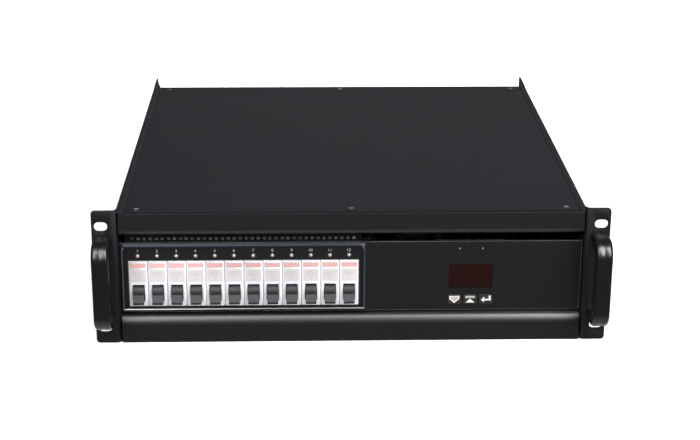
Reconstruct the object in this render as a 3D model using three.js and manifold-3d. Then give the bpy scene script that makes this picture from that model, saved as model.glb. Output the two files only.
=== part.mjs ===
// Rack dimmer pack, three units high, with twelve breakers. All lengths are in millimetres.
// X runs to the right, Y from the front to the rear and Z up, as seen by someone facing the breakers.
// Every piece is laid out from the rack face, Y = 0, which is the front of the two ears.
// The finished group is then moved so that its origin lies under the middle of the whole object.

import * as THREE from 'three';
import { mergeVertices } from 'three/addons/utils/BufferGeometryUtils.js';
import Module from 'manifold-3d';

const wasm = await Module();
wasm.setup();

// Driving dimensions. What stands side by side on the front adds up to the body's 438 mm and, with the
// ears, to the rack's 482.6 mm. What is stacked there adds up to 131.2 mm and the rack's 132.5 mm, and
// what stands in a line inside to a depth of 438 mm.
const ear = { reach: 22.3, overBody: 1.3, slotInset: 8.75, slotFromEdge: 15.6, cornerRadius: 3.5 };
const rackSlot = { width: 12.4, height: 8.6 };
const body = { wingReach: 42, sheet: 2 };
const fit = { seat: 0.3, running: 0.35, cutout: 0.5, overrun: 4 };

// Side panels, each with its ear, its top flange and its rear wing, and the pan between them
const side = { bendRadius: 5, flangeWidth: 8, tipWidth: 0.6 };
const basePan = { edgeHeight: 14 };

// Front frame of two rails with round inner edges
const rail = { wall: 2.5, lip: 14, flange: 16 };
const upperRail = { height: 22.2, radius: 5 };
const lowerRail = { height: 27, radius: 8 };

// Recessed front panel, with an air slot above it
const panel = { recess: 8, thickness: 3, gapBelow: 1.2, airSlot: 9, endFlange: 15 };

// Row of breakers on a top-hat rail
const row = { count: 12, gap: 0.3, fromSide: 9.6, sill: 6.3, headroom: 18.2, proud: 1.5 };
const breaker = { width: 17.7, noseHeight: 45, noseDepth: 17, height: 82, depth: 66, chamfer: 3 };
const notch = { clearance: 0.5, depth: 5 };
const hatRail = { height: 35, channel: 27, depth: 7.5, sheet: 1, overhang: 2.5 };
const bracket = { sheet: 2, foot: 18, topMargin: 2 };
const lever = {
  width: 10.2, drumRadius: 7.5, reach: 15, rootHalf: 3.4, tipHalf: 2.3, tipRound: 0.9,
  belowCentre: 9.25, pivotDepth: 4.5, restAngle: -35,
};

// Trim frame round the breakers
const bezel = {
  bar: 3.5, thickness: 2.7, sideMargin: 4.1, sillMargin: 1.5, topMargin: 4, bevel: 1.8, cornerRadius: 4.5,
};

// Indicator lamps over the breakers and the board that carries them
const lamp = { diameter: 3, proud: 1.2, aboveNose: 5.1 };
const lampBoard = { sheet: 1.6, behind: 2.5, aboveLamp: 10.5, belowLamp: 1.5, sideMargin: 3, standoff: 4 };

// Perforated strip in the air slot over the breakers
const grille = { thickness: 2, holeSize: 3.6, holeCount: 38, endMargin: 7.1, holeRise: 4.2, topGap: 0.4 };

// Display, keys and the board behind them
const display = {
  width: 41, height: 24, fromRow: 106, fromSide: 106.4, aboveRow: 5.7, lensDepth: 2.2, setBack: 0.6,
};
const digits = { width: 38, height: 20 };
const key = {
  width: 12.4, height: 9, gap: 0.8, belowDisplay: 11.3, proud: 1.6, flange: 0.9, flangeDepth: 1,
  travel: 0.7,
};
const keySwitch = { size: 6 };
const statusLamp = { spacing: 21.5, aboveDisplay: 15.4 };
const displayBoard = {
  sheet: 1.6, behind: 9, width: 66, sillGap: 2.2, aboveLamp: 4.3, post: 5, postInset: 4,
};

// Front handles, one on each ear
const handle = {
  width: 15.6, thickness: 9, reach: 35, legSpacing: 78, bendRadius: 10, edgeRound: 2.4, insideSlot: 1.55,
};

// Rear panel and what is fixed in it
const rear = { flangeDepth: 18 };
const fan = {
  size: 80, depth: 25, rim: 2, cornerRadius: 5, motorDiameter: 32, motorDepth: 6, strutWidth: 5,
  strutDepth: 3, fromSide: 54, hubDiameter: 31, rotorGap: 2, bladeSheet: 2, bladeGap: 1.5,
  bladeTwist: 38, bladeCount: 7,
};
const fanSlot = { height: 5.6, web: 3.6, count: 8 };
const socket = {
  flangeWidth: 26, flangeHeight: 31, flangeDepth: 2, shell: 23.6, insideDepth: 20, cup: 18, cupDepth: 14,
  pin: 2.4, pinCircle: 5.4, pinSetBack: 2, pinDegrees: [30, 150, 270], x: -85, spacing: 40, z: 38,
  faceDepth: 2.2, insert: 14.8, contact: 2.8, contactDepth: 10,
};
const latch = { width: 8, height: 4, proud: 3.4, depth: 8, aboveCentre: 7.8, travel: 1.2 };
const gland = {
  fromFan: 40, z: 38, threadDiameter: 31.6, bore: 20, nutDiameter: 38, hexDepth: 7, domeDiameter: 34,
  domeDepth: 16, insideDepth: 10, nutDepth: 6,
};
const outputs = {
  width: 190, height: 34, fromTop: 33.9, outsideDepth: 14, insideDepth: 14, lip: 5, lipDepth: 2,
  wayCount: 12, wayWidth: 11, wayHeight: 12, wayDepth: 3.5,
};

// Inside the case
const heatsink = { width: 80, length: 240, height: 68, base: 8, finCount: 9, fin: 3, fromFan: 6, lift: 10 };
const power = { moduleWidth: 28, moduleLength: 32, moduleHeight: 14, count: 6, board: 1.6, boardMargin: 3 };
const choke = {
  outer: 50, inner: 22, height: 22, gap: 2, columnCount: 2, lineCount: 6, edge: 4, bolt: 8, boltRise: 3,
  trayMargin: 3, fromBracket: 1.4, fromControl: 9.5, fromRear: 21,
};
const control = {
  width: 73, length: 140, sheet: 1.6, lift: 8, fromSink: 7.5, fromBracket: 54.4, post: 6, postInset: 5,
  coilWidth: 42, coilLength: 36, coilHeight: 33, coilInset: 12, chip: 22, chipHeight: 4, capDiameter: 16,
  capHeight: 26,
};
const supply = {
  width: 62, length: 34, height: 30, poleCount: 5, barrier: 2, step: 9, fromSink: 9, fromRear: 69,
};

// Counts of straight steps that stand for a round
const steps = {
  edge: 2, corner: 2, bend: 4, quarter: 4, hex: 6, small: 8, hole: 12, ring: 14, drum: 18, bore: 24,
};

// Stack on the front, from the floor up
const panelBottom = lowerRail.height + panel.gapBelow;
const noseBottom = panelBottom + row.sill;
const noseCentre = noseBottom + breaker.noseHeight / 2;
const noseTop = noseBottom + breaker.noseHeight;
const panelTop = noseTop + row.headroom;
const upperRailBottom = panelTop + panel.airSlot;
const railTop = upperRailBottom + upperRail.height;
const bodyHeight = railTop + fit.seat + body.sheet;
const rackHeight = bodyHeight + ear.overBody;
const middle = rackHeight / 2;
const floorTop = body.sheet + fit.seat;

// Row across the front, from the left side to the right
const rowSpacing = breaker.width + row.gap;
const rowWidth = row.count * rowSpacing;
const bodyWidth = row.fromSide + rowWidth + display.fromRow + display.fromSide;
const halfBody = bodyWidth / 2;
const innerHalf = halfBody - body.sheet;
const halfRack = halfBody + ear.reach;
const slotX = halfRack - ear.slotInset;
const rowLeft = -halfBody + row.fromSide;
const rowMiddle = rowLeft + rowWidth / 2;
const displayX = halfBody - display.fromSide;
const fanX = halfBody - fan.fromSide;

// Line inside, from the front panel to the rear panel and the wings
const noseFace = panel.recess - row.proud;
const panelBack = panel.recess + panel.thickness;
const breakerBack = noseFace + breaker.depth;
const hatFront = breakerBack - notch.depth + fit.seat;
const hatBack = hatFront + hatRail.depth;
const bracketFront = hatBack + fit.seat;
const bracketBack = bracketFront + bracket.sheet;
const footBack = bracketBack + bracket.foot;
const chokeSpacing = choke.outer + choke.gap;
const trayFront = footBack + choke.fromBracket;
const trayBack = trayFront + choke.lineCount * chokeSpacing + 2 * choke.trayMargin;
const rearInside = trayBack + choke.fromRear;
const rearFace = rearInside + body.sheet;
const wingTip = rearFace + body.wingReach;

const degrees = Math.PI / 180;

// Outlines are lists of [u, v] points, taken anticlockwise
function arc(u, v, radius, from, to, count) {
  const points = [];
  for (let i = 0; i <= count; i += 1) {
    const angle = (from + (to - from) * i / count) * degrees;
    points.push([u + radius * Math.cos(angle), v + radius * Math.sin(angle)]);
  }
  return points;
}

function circle(u, v, radius, count) {
  return arc(u, v, radius, 0, 360 - 360 / count, count - 1);
}

function rectangle(u, v, width, height) {
  const a = width / 2;
  const b = height / 2;
  return [[u - a, v - b], [u + a, v - b], [u + a, v + b], [u - a, v + b]];
}

function roundedRectangle(u, v, width, height, radius, count) {
  const a = width / 2 - radius;
  const b = height / 2 - radius;
  return [
    ...arc(u + a, v + b, radius, 0, 90, count),
    ...arc(u - a, v + b, radius, 90, 180, count),
    ...arc(u - a, v - b, radius, 180, 270, count),
    ...arc(u + a, v - b, radius, 270, 360, count),
  ];
}

function vectors(points) {
  return points.map(([u, v]) => new THREE.Vector2(u, v));
}

// A flat outline drawn out to a depth
function prism(points, depth) {
  const shape = new THREE.Shape(vectors(points));
  return new THREE.ExtrudeGeometry(shape, { depth, bevelEnabled: false });
}

// Outline in Y and Z, drawn from x0 to x1
function alongX(points, x0, x1) {
  const turn = new THREE.Matrix4().set(0, 0, 1, x0, 1, 0, 0, 0, 0, 1, 0, 0, 0, 0, 0, 1);
  return prism(points, x1 - x0).applyMatrix4(turn);
}

// Outline in X and Z, drawn from y0 to y1
function alongY(points, y0, y1) {
  const turn = new THREE.Matrix4().set(1, 0, 0, 0, 0, 0, -1, y1, 0, 1, 0, 0, 0, 0, 0, 1);
  return prism(points, y1 - y0).applyMatrix4(turn);
}

// Outline in X and Y, drawn from z0 to z1
function alongZ(points, z0, z1) {
  return prism(points, z1 - z0).translate(0, 0, z0);
}

function block(x0, x1, y0, y1, z0, z1) {
  const box = new THREE.BoxGeometry(x1 - x0, y1 - y0, z1 - z0);
  return box.translate((x0 + x1) / 2, (y0 + y1) / 2, (z0 + z1) / 2);
}

function cylinderY(x, z, diameter, y0, y1, count) {
  return alongY(circle(x, z, diameter / 2, count), y0, y1);
}

function cylinderZ(x, y, diameter, z0, z1, count) {
  return alongZ(circle(x, y, diameter / 2, count), z0, z1);
}

// Joins and cuts work on closed solids with shared corners
function toSolid(geometry) {
  const bare = geometry.clone();
  bare.deleteAttribute('normal');
  bare.deleteAttribute('uv');
  const merged = mergeVertices(bare);
  return new wasm.Manifold(new wasm.Mesh({
    numProp: 3,
    vertProperties: new Float32Array(merged.attributes.position.array),
    triVerts: new Uint32Array(merged.index.array),
  }));
}

function toGeometry(solid) {
  const mesh = solid.getMesh();
  const geometry = new THREE.BufferGeometry();
  geometry.setAttribute('position', new THREE.BufferAttribute(mesh.vertProperties, mesh.numProp));
  geometry.setIndex(new THREE.BufferAttribute(mesh.triVerts, 1));
  geometry.computeVertexNormals();
  return geometry;
}

function join(...geometries) {
  let solid = toSolid(geometries[0]);
  for (const geometry of geometries.slice(1)) {
    solid = solid.add(toSolid(geometry));
  }
  return toGeometry(solid);
}

function cut(geometry, ...cutters) {
  let solid = toSolid(geometry);
  for (const cutter of cutters) {
    solid = solid.subtract(toSolid(cutter));
  }
  return toGeometry(solid);
}

// Outline in X and Z, drawn from y0 to y1, with openings right through it
function pierced(points, holes, y0, y1) {
  const cutters = holes.map((hole) => alongY(hole, y0 - fit.overrun, y1 + fit.overrun));
  return cut(alongY(points, y0, y1), ...cutters);
}

const group = new THREE.Group();

function finish(color, roughness, metalness) {
  return new THREE.MeshStandardMaterial({ color, roughness, metalness });
}

function add(name, geometry, material) {
  const mesh = new THREE.Mesh(geometry, material);
  mesh.name = name;
  group.add(mesh);
  return mesh;
}

// The left piece of a pair is the right one mirrored, with its triangles turned to face out
function mirrored(geometry) {
  const solid = toSolid(geometry);
  return toGeometry(solid.mirror([1, 0, 0]));
}

// Side panels: one folded sheet each, with the rack ear turned outward in front, a flange turned
// inward along the top and a wing that runs on past the rear panel. Drawn for the right side.
function sidePanel() {
  const centreX = innerHalf + side.bendRadius;
  const innerRadius = side.bendRadius - body.sheet;
  const bendTop = arc(centreX, side.bendRadius, side.bendRadius, 180, 270, steps.bend);
  const bendBack = arc(centreX, side.bendRadius, innerRadius, 270, 180, steps.bend);
  const bend = [...bendTop, ...bendBack];
  const web = block(innerHalf, halfBody, side.bendRadius, wingTip, 0, bodyHeight);
  const flangeInner = halfBody - side.flangeWidth;
  const flange = [
    [flangeInner, fit.seat], [innerHalf, fit.seat], [centreX, side.bendRadius],
    [halfBody, side.bendRadius], [halfBody, wingTip], [halfBody - side.tipWidth, wingTip],
    [flangeInner, rearFace],
  ];
  const cornerX = halfRack - ear.cornerRadius;
  const earOutline = [
    [centreX, 0],
    ...arc(cornerX, ear.cornerRadius, ear.cornerRadius, 270, 360, steps.quarter),
    ...arc(cornerX, rackHeight - ear.cornerRadius, ear.cornerRadius, 0, 90, steps.quarter),
    [centreX, rackHeight],
  ];
  const slotRadius = rackSlot.height / 2 - fit.seat;
  const slots = [ear.slotFromEdge, rackHeight - ear.slotFromEdge].map((z) => roundedRectangle(
    slotX, z, rackSlot.width, rackSlot.height, slotRadius, steps.quarter));
  return join(
    alongZ(bend, 0, rackHeight),
    web,
    alongZ(flange, bodyHeight - body.sheet, bodyHeight),
    pierced(earOutline, slots, 0, body.sheet),
  );
}

const black = finish(0x26272b, 0.55, 0.25);
const rightPanel = sidePanel();
add('right_side_panel', rightPanel, black);
add('left_side_panel', mirrored(rightPanel), black);

// Base pan: floor sheet with its two sides turned up inside the side panels
const panHalf = innerHalf - fit.seat;
const panFront = rail.wall + fit.seat;
const upturnFront = rail.flange + fit.seat;
const upturnBack = rearInside - rear.flangeDepth;
add('base_pan', join(
  block(-panHalf, panHalf, panFront, rearFace, 0, body.sheet),
  block(-panHalf, body.sheet - panHalf, upturnFront, upturnBack, 0, basePan.edgeHeight),
  block(panHalf - body.sheet, panHalf, upturnFront, upturnBack, 0, basePan.edgeHeight),
), black);

// Top cover: flat sheet that lies between the side flanges, on the upper rail and the rear panel
const coverHalf = halfBody - side.flangeWidth - fit.seat;
const coverBottom = bodyHeight - body.sheet;
add('top_cover', block(-coverHalf, coverHalf, fit.seat, rearFace, coverBottom, bodyHeight), black);

// Front rails: open channels, round where they turn into the recess. The outline is drawn for the
// lower rail, and the upper one is the same outline turned over.
function railOutline(height, radius, foot) {
  const inside = radius - rail.wall;
  return [
    [0, 0], [rail.wall, 0], [rail.wall, foot], [rail.flange, foot], [rail.flange, foot + rail.wall],
    [rail.wall, foot + rail.wall],
    ...arc(radius, height - radius, inside, 180, 90, steps.quarter),
    [rail.lip, height - rail.wall], [rail.lip, height],
    ...arc(radius, height - radius, radius, 90, 180, steps.quarter),
  ];
}

const lowerOutline = railOutline(lowerRail.height, lowerRail.radius, floorTop);
const upperOutline = railOutline(upperRail.height, upperRail.radius, 0).map(([y, z]) => [y, railTop - z]);
const satinBlack = finish(0x222326, 0.42, 0.35);
add('lower_front_rail', alongX(lowerOutline, -panHalf, panHalf), satinBlack);
add('upper_front_rail', alongX(upperOutline, -panHalf, panHalf), satinBlack);

// Front panel: thick plate with openings for the breakers, lamps, display and keys
const leverZ = noseCentre - lever.belowCentre;
const lampZ = noseTop + lamp.aboveNose;
const displayZ = noseCentre + display.aboveRow;
const statusZ = displayZ + display.height / 2 + statusLamp.aboveDisplay;
const keyZ = displayZ - display.height / 2 - key.belowDisplay;
const keySpacing = key.width + 2 * key.flange + key.gap;
const lampHole = lamp.diameter + 2 * fit.seat;
const keyNames = ['key_down', 'key_up', 'key_enter'];

function breakerX(index) {
  return rowLeft + rowSpacing * (index + 1 / 2);
}

function keyX(index) {
  return displayX + keySpacing * (index - 1);
}

const panelMiddle = (panelBottom + panelTop) / 2;
const panelHoles = [
  rectangle(rowMiddle, noseCentre, rowWidth + 2 * fit.cutout, breaker.noseHeight + 2 * fit.cutout),
  rectangle(displayX, displayZ, display.width + 2 * fit.running, display.height + 2 * fit.running),
  circle(displayX - statusLamp.spacing / 2, statusZ, lampHole / 2, steps.small),
  circle(displayX + statusLamp.spacing / 2, statusZ, lampHole / 2, steps.small),
];
for (let i = 0; i < row.count; i += 1) {
  panelHoles.push(circle(breakerX(i), lampZ, lampHole / 2, steps.small));
}
for (let i = 0; i < keyNames.length; i += 1) {
  panelHoles.push(rectangle(keyX(i), keyZ, key.width + 2 * fit.running, key.height + 2 * fit.running));
}
const plate = rectangle(0, panelMiddle, 2 * panHalf, panelTop - panelBottom);
const flangeBack = panelBack + panel.endFlange;
add('front_panel', join(
  pierced(plate, panelHoles, panel.recess, panelBack),
  block(-panHalf, body.sheet - panHalf, panel.recess, flangeBack, panelBottom, panelTop),
  block(panHalf - body.sheet, panHalf, panel.recess, flangeBack, panelBottom, panelTop),
), satinBlack);

// Breaker bezel: trim frame with a bevel inside and two round top corners
const bezelBack = panel.recess - fit.seat;
const bezelFront = bezelBack - bezel.thickness;
const bezelInnerWidth = rowWidth + 2 * bezel.sideMargin;
const bezelInnerBottom = noseBottom - bezel.sillMargin;
const bezelInnerTop = panelTop - bezel.topMargin;
const bezelInnerHeight = bezelInnerTop - bezelInnerBottom;
const bezelZ = (bezelInnerBottom + bezelInnerTop) / 2;

function bezelOutline(margin) {
  const halfWidth = bezelInnerWidth / 2 + margin;
  const halfHeight = bezelInnerHeight / 2 + margin;
  const radius = bezel.cornerRadius;
  return [
    [rowMiddle - halfWidth, bezelZ - halfHeight], [rowMiddle + halfWidth, bezelZ - halfHeight],
    ...arc(rowMiddle + halfWidth - radius, bezelZ + halfHeight - radius, radius, 0, 90, steps.quarter),
    ...arc(rowMiddle - halfWidth + radius, bezelZ + halfHeight - radius, radius, 90, 180, steps.quarter),
  ];
}

// The bevel is a funnel between the front opening and the smaller one behind it
function funnel(front, back, y0, y1) {
  const positions = [];
  const indices = [];
  const count = front.length;
  for (const [ring, y] of [[front, y0], [back, y1]]) {
    for (const [x, z] of ring) {
      positions.push(x, y, z);
    }
  }
  const faces = THREE.ShapeUtils.triangulateShape(vectors(front), []);
  for (const [a, b, c] of faces) {
    indices.push(a, b, c, count + c, count + b, count + a);
  }
  for (let i = 0; i < count; i += 1) {
    const next = (i + 1) % count;
    indices.push(i, count + i, next, next, count + i, count + next);
  }
  const geometry = new THREE.BufferGeometry();
  geometry.setAttribute('position', new THREE.Float32BufferAttribute(positions, 3));
  geometry.setIndex(indices);
  geometry.computeVertexNormals();
  return geometry;
}

const bevelGrowth = bezel.bevel / bezel.thickness;
const funnelFront = bezelFront - fit.overrun;
const bezelFunnel = funnel(
  bezelOutline(bezel.bevel + fit.overrun * bevelGrowth),
  bezelOutline(-fit.overrun * bevelGrowth),
  funnelFront, bezelBack + fit.overrun,
);
const gloss = finish(0x2a2c30, 0.25, 0.4);
add('breaker_bezel', cut(
  alongY(bezelOutline(bezel.bar), bezelFront, bezelBack),
  bezelFunnel,
), gloss);

// Breakers and their levers. The lever is a drum with a paddle, in a slot in the breaker's nose.
function breakerOutline() {
  const nose = breaker.noseHeight / 2;
  const half = breaker.height / 2;
  const shoulder = noseFace + breaker.noseDepth;
  const back = breakerBack;
  const grip = hatRail.height / 2 + notch.clearance;
  return [
    [noseFace, -nose], [shoulder, -nose], [shoulder, breaker.chamfer - half],
    [shoulder + breaker.chamfer, -half], [back, -half], [back, -grip], [back - notch.depth, -grip],
    [back - notch.depth, grip], [back, grip], [back, half], [shoulder + breaker.chamfer, half],
    [shoulder, half - breaker.chamfer], [shoulder, nose], [noseFace, nose],
  ].map(([y, z]) => [y, z + noseCentre]);
}

function leverOutline() {
  const root = Math.asin(lever.rootHalf / lever.drumRadius) / degrees;
  const from = 180 - lever.restAngle + root;
  const drum = arc(0, 0, lever.drumRadius, from, from + 360 - 2 * root, steps.drum);
  const along = (180 - lever.restAngle) * degrees;
  const tip = [
    [lever.reach - lever.tipRound, -lever.tipHalf], [lever.reach, lever.tipRound - lever.tipHalf],
    [lever.reach, lever.tipHalf - lever.tipRound], [lever.reach - lever.tipRound, lever.tipHalf],
  ];
  const turned = tip.map(([u, v]) => [
    u * Math.cos(along) - v * Math.sin(along), u * Math.sin(along) + v * Math.cos(along),
  ]);
  return [...drum, ...turned];
}

const pivotY = noseFace + lever.pivotDepth;
const slotHalf = lever.drumRadius + fit.running * 2;
const slotHalfWidth = lever.width / 2 + fit.running;
const ivory = finish(0xe8e8e4, 0.4, 0);
const leverBlack = finish(0x3a3a3c, 0.45, 0);

for (let i = 0; i < row.count; i += 1) {
  const x = breakerX(i);
  const label = String(i + 1).padStart(2, '0');
  const shell = alongX(breakerOutline(), x - breaker.width / 2, x + breaker.width / 2);
  const slot = block(
    x - slotHalfWidth, x + slotHalfWidth, noseFace - fit.overrun, pivotY + slotHalf,
    leverZ - slotHalf, leverZ + slotHalf,
  );
  add(`breaker_${label}`, cut(shell, slot), ivory);
  const paddle = alongX(leverOutline(), -lever.width / 2, lever.width / 2);
  add(`breaker_lever_${label}`, paddle, leverBlack).position.set(x, pivotY, leverZ);
}

// Top-hat rail that the breakers clip on, and the bracket that holds it up from the floor
const hatHalf = hatRail.height / 2;
const hatChannel = hatRail.channel / 2;
const hatOutside = hatChannel + hatRail.sheet;
const hatOutline = [
  [hatFront, hatChannel], [hatBack - hatRail.sheet, hatChannel], [hatBack - hatRail.sheet, -hatChannel],
  [hatFront, -hatChannel], [hatFront, -hatHalf], [hatFront + hatRail.sheet, -hatHalf],
  [hatFront + hatRail.sheet, -hatOutside], [hatBack, -hatOutside], [hatBack, hatOutside],
  [hatFront + hatRail.sheet, hatOutside], [hatFront + hatRail.sheet, hatHalf], [hatFront, hatHalf],
].map(([y, z]) => [y, z + noseCentre]);
const hatLeft = rowLeft - hatRail.overhang;
const hatRight = rowLeft + rowWidth + hatRail.overhang;
add('din_rail', alongX(hatOutline, hatLeft, hatRight), finish(0xb9bcc0, 0.35, 0.9));

const bracketTop = noseCentre + hatHalf + bracket.topMargin;
add('breaker_bracket', join(
  block(hatLeft, hatRight, bracketFront, bracketBack, floorTop, bracketTop),
  block(hatLeft, hatRight, bracketFront, footBack, floorTop, floorTop + bracket.sheet),
), finish(0xa8abb0, 0.4, 0.85));

// Indicator board: long circuit board behind the panel with a lamp over each breaker
const boardFront = panelBack + lampBoard.behind;
const boardBack = boardFront + lampBoard.sheet;
const boardTop = lampZ + lampBoard.aboveLamp;
const boardParts = [block(
  rowLeft - lampBoard.sideMargin + fit.seat, rowLeft + rowWidth + lampBoard.sideMargin,
  boardFront, boardBack, lampZ - lampBoard.belowLamp, boardTop,
)];
for (let i = 0; i < row.count; i += 1) {
  boardParts.push(cylinderY(
    breakerX(i), lampZ, lamp.diameter, panel.recess - lamp.proud, boardFront + fit.seat, steps.small));
}
for (const x of [breakerX(0), breakerX(row.count - 1)]) {
  const postX = x + Math.sign(rowMiddle - x) * rowSpacing / 2;
  const post = lampBoard.standoff / 2;
  boardParts.push(block(
    postX - post, postX + post, panelBack + fit.seat, boardFront + fit.seat,
    boardTop - lampBoard.standoff, boardTop));
}
const boardGreen = finish(0x1f5a3a, 0.5, 0.1);
add('indicator_board', join(...boardParts), boardGreen);

// Air grille: strip with a row of small holes, behind the air slot over the breakers
const grilleFront = panelBack + fit.seat;
const grilleBack = grilleFront + grille.thickness;
const grilleBottom = boardTop + fit.seat;
const grilleTop = upperRailBottom - grille.topGap;
const grilleHalf = rowWidth / 2 + lampBoard.sideMargin - fit.seat;
const holeSpacing = 2 * (grilleHalf - grille.endMargin) / (grille.holeCount - 1);
const grilleHoles = [];
for (let i = 0; i < grille.holeCount; i += 1) {
  const x = rowMiddle + holeSpacing * (i - (grille.holeCount - 1) / 2);
  grilleHoles.push(rectangle(x, panelTop + grille.holeRise, grille.holeSize, grille.holeSize));
}
add('air_grille', pierced(
  rectangle(rowMiddle, (grilleBottom + grilleTop) / 2, 2 * grilleHalf, grilleTop - grilleBottom),
  grilleHoles, grilleFront, grilleBack,
), finish(0x1c1d20, 0.6, 0.3));

// Display window: tinted lens set in the panel, with the digit module right behind it
const lensFront = panel.recess + display.setBack;
const lensBack = lensFront + display.lensDepth;
add('display_window', alongY(
  rectangle(displayX, displayZ, display.width, display.height), lensFront, lensBack,
), finish(0x4a1216, 0.15, 0));

// Display board: digit module, two status lamps, three key switches and four posts on one board
const displayBoardFront = panelBack + displayBoard.behind;
const displayBoardBack = displayBoardFront + displayBoard.sheet;
const displayBoardBottom = panelBottom + displayBoard.sillGap;
const displayBoardTop = statusZ + displayBoard.aboveLamp;
const keyBack = panelBack + fit.seat + key.flangeDepth;
const switchFront = keyBack + key.travel + fit.seat;
const displayParts = [
  block(
    displayX - displayBoard.width / 2, displayX + displayBoard.width / 2,
    displayBoardFront, displayBoardBack, displayBoardBottom, displayBoardTop,
  ),
  block(
    displayX - digits.width / 2, displayX + digits.width / 2,
    panelBack + fit.seat, displayBoardFront + fit.seat,
    displayZ - digits.height / 2, displayZ + digits.height / 2,
  ),
];
for (const direction of [-1, 1]) {
  displayParts.push(cylinderY(
    displayX + direction * statusLamp.spacing / 2, statusZ, lamp.diameter,
    panel.recess - lamp.proud, displayBoardFront + fit.seat, steps.small));
  const postX = displayX + direction * (displayBoard.width / 2 - displayBoard.postInset);
  for (const z of [displayBoardBottom + displayBoard.postInset, displayBoardTop - displayBoard.postInset]) {
    displayParts.push(cylinderY(
      postX, z, displayBoard.post, panelBack + fit.seat, displayBoardFront + fit.seat, steps.small));
  }
}
for (let i = 0; i < keyNames.length; i += 1) {
  const half = keySwitch.size / 2;
  displayParts.push(block(
    keyX(i) - half, keyX(i) + half, switchFront, displayBoardFront + fit.seat, keyZ - half, keyZ + half));
}
add('display_board', join(...displayParts), boardGreen);

// Keys: caps that slide in the panel, each held from behind by its own flange
const keyRubber = finish(0x1d1e20, 0.5, 0);
keyNames.forEach((name, index) => {
  const cap = block(-key.width / 2, key.width / 2, panel.recess - key.proud, keyBack,
    -key.height / 2, key.height / 2);
  const skirtHalf = key.width / 2 + key.flange;
  const skirtRise = key.height / 2 + key.flange;
  const skirt = block(-skirtHalf, skirtHalf, panelBack + fit.seat, keyBack, -skirtRise, skirtRise);
  const mesh = add(name, join(cap, skirt), keyRubber);
  mesh.position.set(keyX(index), 0, keyZ);
});

// Handles: cast bows with round corners, each screwed to its ear from behind
function handleGeometry() {
  const half = handle.thickness / 2;
  const outer = handle.bendRadius + half;
  const inner = handle.bendRadius - half;
  const legZ = handle.legSpacing / 2;
  const front = -handle.reach;
  const back = fit.overrun;
  const bendY = front + outer;
  const bendZ = legZ + half - outer;
  const outline = [
    [back, legZ + half], ...arc(bendY, bendZ, outer, 90, 180, steps.quarter),
    ...arc(bendY, -bendZ, outer, 180, 270, steps.quarter), [back, -legZ - half], [back, half - legZ],
    ...arc(bendY, -bendZ, inner, 270, 180, steps.quarter),
    ...arc(bendY, bendZ, inner, 180, 90, steps.quarter), [back, legZ - half],
  ];
  const shape = new THREE.Shape(vectors(outline));
  const bow = new THREE.ExtrudeGeometry(shape, {
    depth: handle.width - 2 * handle.edgeRound, bevelEnabled: true, bevelThickness: handle.edgeRound,
    bevelSize: handle.edgeRound, bevelOffset: -handle.edgeRound, bevelSegments: steps.edge,
  });
  const turn = new THREE.Matrix4().set(
    0, 0, 1, handle.edgeRound - handle.width / 2, 1, 0, 0, 0, 0, 1, 0, 0, 0, 0, 0, 1);
  bow.applyMatrix4(turn);
  const reach = handle.width + fit.overrun;
  const tall = handle.legSpacing + handle.width;
  return cut(bow, block(-reach, reach, -fit.seat, back + fit.overrun, -tall, tall));
}

const castBlack = finish(0x242528, 0.35, 0.5);
const handleX = slotX - handle.insideSlot;
add('right_handle', handleGeometry(), castBlack).position.set(handleX, 0, middle);
add('left_handle', handleGeometry(), castBlack).position.set(-handleX, 0, middle);

// Rear panel: folded sheet between the wings, with grilles cut for the two fans
const fanBore = fan.size - 2 * fan.rim;

function fanSlots(centreX) {
  const holes = [];
  const pitch = fanSlot.height + fanSlot.web;
  for (let i = 0; i < fanSlot.count; i += 1) {
    const offset = pitch * (i - (fanSlot.count - 1) / 2);
    const far = Math.abs(offset) + fanSlot.height / 2;
    const halfWidth = Math.sqrt(Math.max(fanBore ** 2 / 4 - far ** 2, fanSlot.height ** 2));
    holes.push(rectangle(centreX, middle + offset, 2 * halfWidth, fanSlot.height));
  }
  return holes;
}

const outputX = 0;
const outputZ = railTop - outputs.fromTop;
const glandX = fanX - fan.size / 2 - gland.fromFan;
const rearHoles = [
  ...fanSlots(-fanX), ...fanSlots(fanX),
  circle(socket.x, socket.z, socket.shell / 2 + fit.running, steps.hole),
  circle(socket.x + socket.spacing, socket.z, socket.shell / 2 + fit.running, steps.hole),
  circle(glandX, gland.z, gland.threadDiameter / 2 + fit.running, steps.hole),
  rectangle(outputX, outputZ, outputs.width + 2 * fit.cutout, outputs.height + 2 * fit.cutout),
];
const rearPlate = rectangle(0, (floorTop + railTop) / 2, 2 * panHalf, railTop - floorTop);
const rearFlangeFront = rearFace - rear.flangeDepth;
const latchHalf = latch.width / 2 + fit.running;
const latchZ = socket.z + latch.aboveCentre;
add('rear_panel', join(
  pierced(rearPlate, rearHoles, rearInside, rearFace),
  block(-panHalf, panHalf, rearFlangeFront, rearFace, railTop - body.sheet, railTop),
  block(-panHalf, panHalf, rearFlangeFront, rearFace, floorTop, floorTop + body.sheet),
), black);

// Fans: a square frame with its motor on four struts, and a rotor with twisted blades
const fanBack = rearInside - fit.seat;
const fanFront = fanBack - fan.depth;
const motorBack = fanFront + fan.motorDepth;

function fanFrame() {
  const ring = pierced(
    roundedRectangle(0, 0, fan.size, fan.size, fan.cornerRadius, steps.corner),
    [circle(0, 0, fanBore / 2, steps.bore)], fanFront, fanBack,
  );
  const motor = cylinderY(0, 0, fan.motorDiameter, fanFront, motorBack, steps.hole);
  const half = fan.strutWidth / 2;
  const end = fanBore / 2 + fit.seat;
  const upright = block(-half, half, fanFront, fanFront + fan.strutDepth, -end, end);
  const level = block(-end, end, fanFront, fanFront + fan.strutDepth, -half, half);
  return join(ring, motor, upright, level);
}

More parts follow.
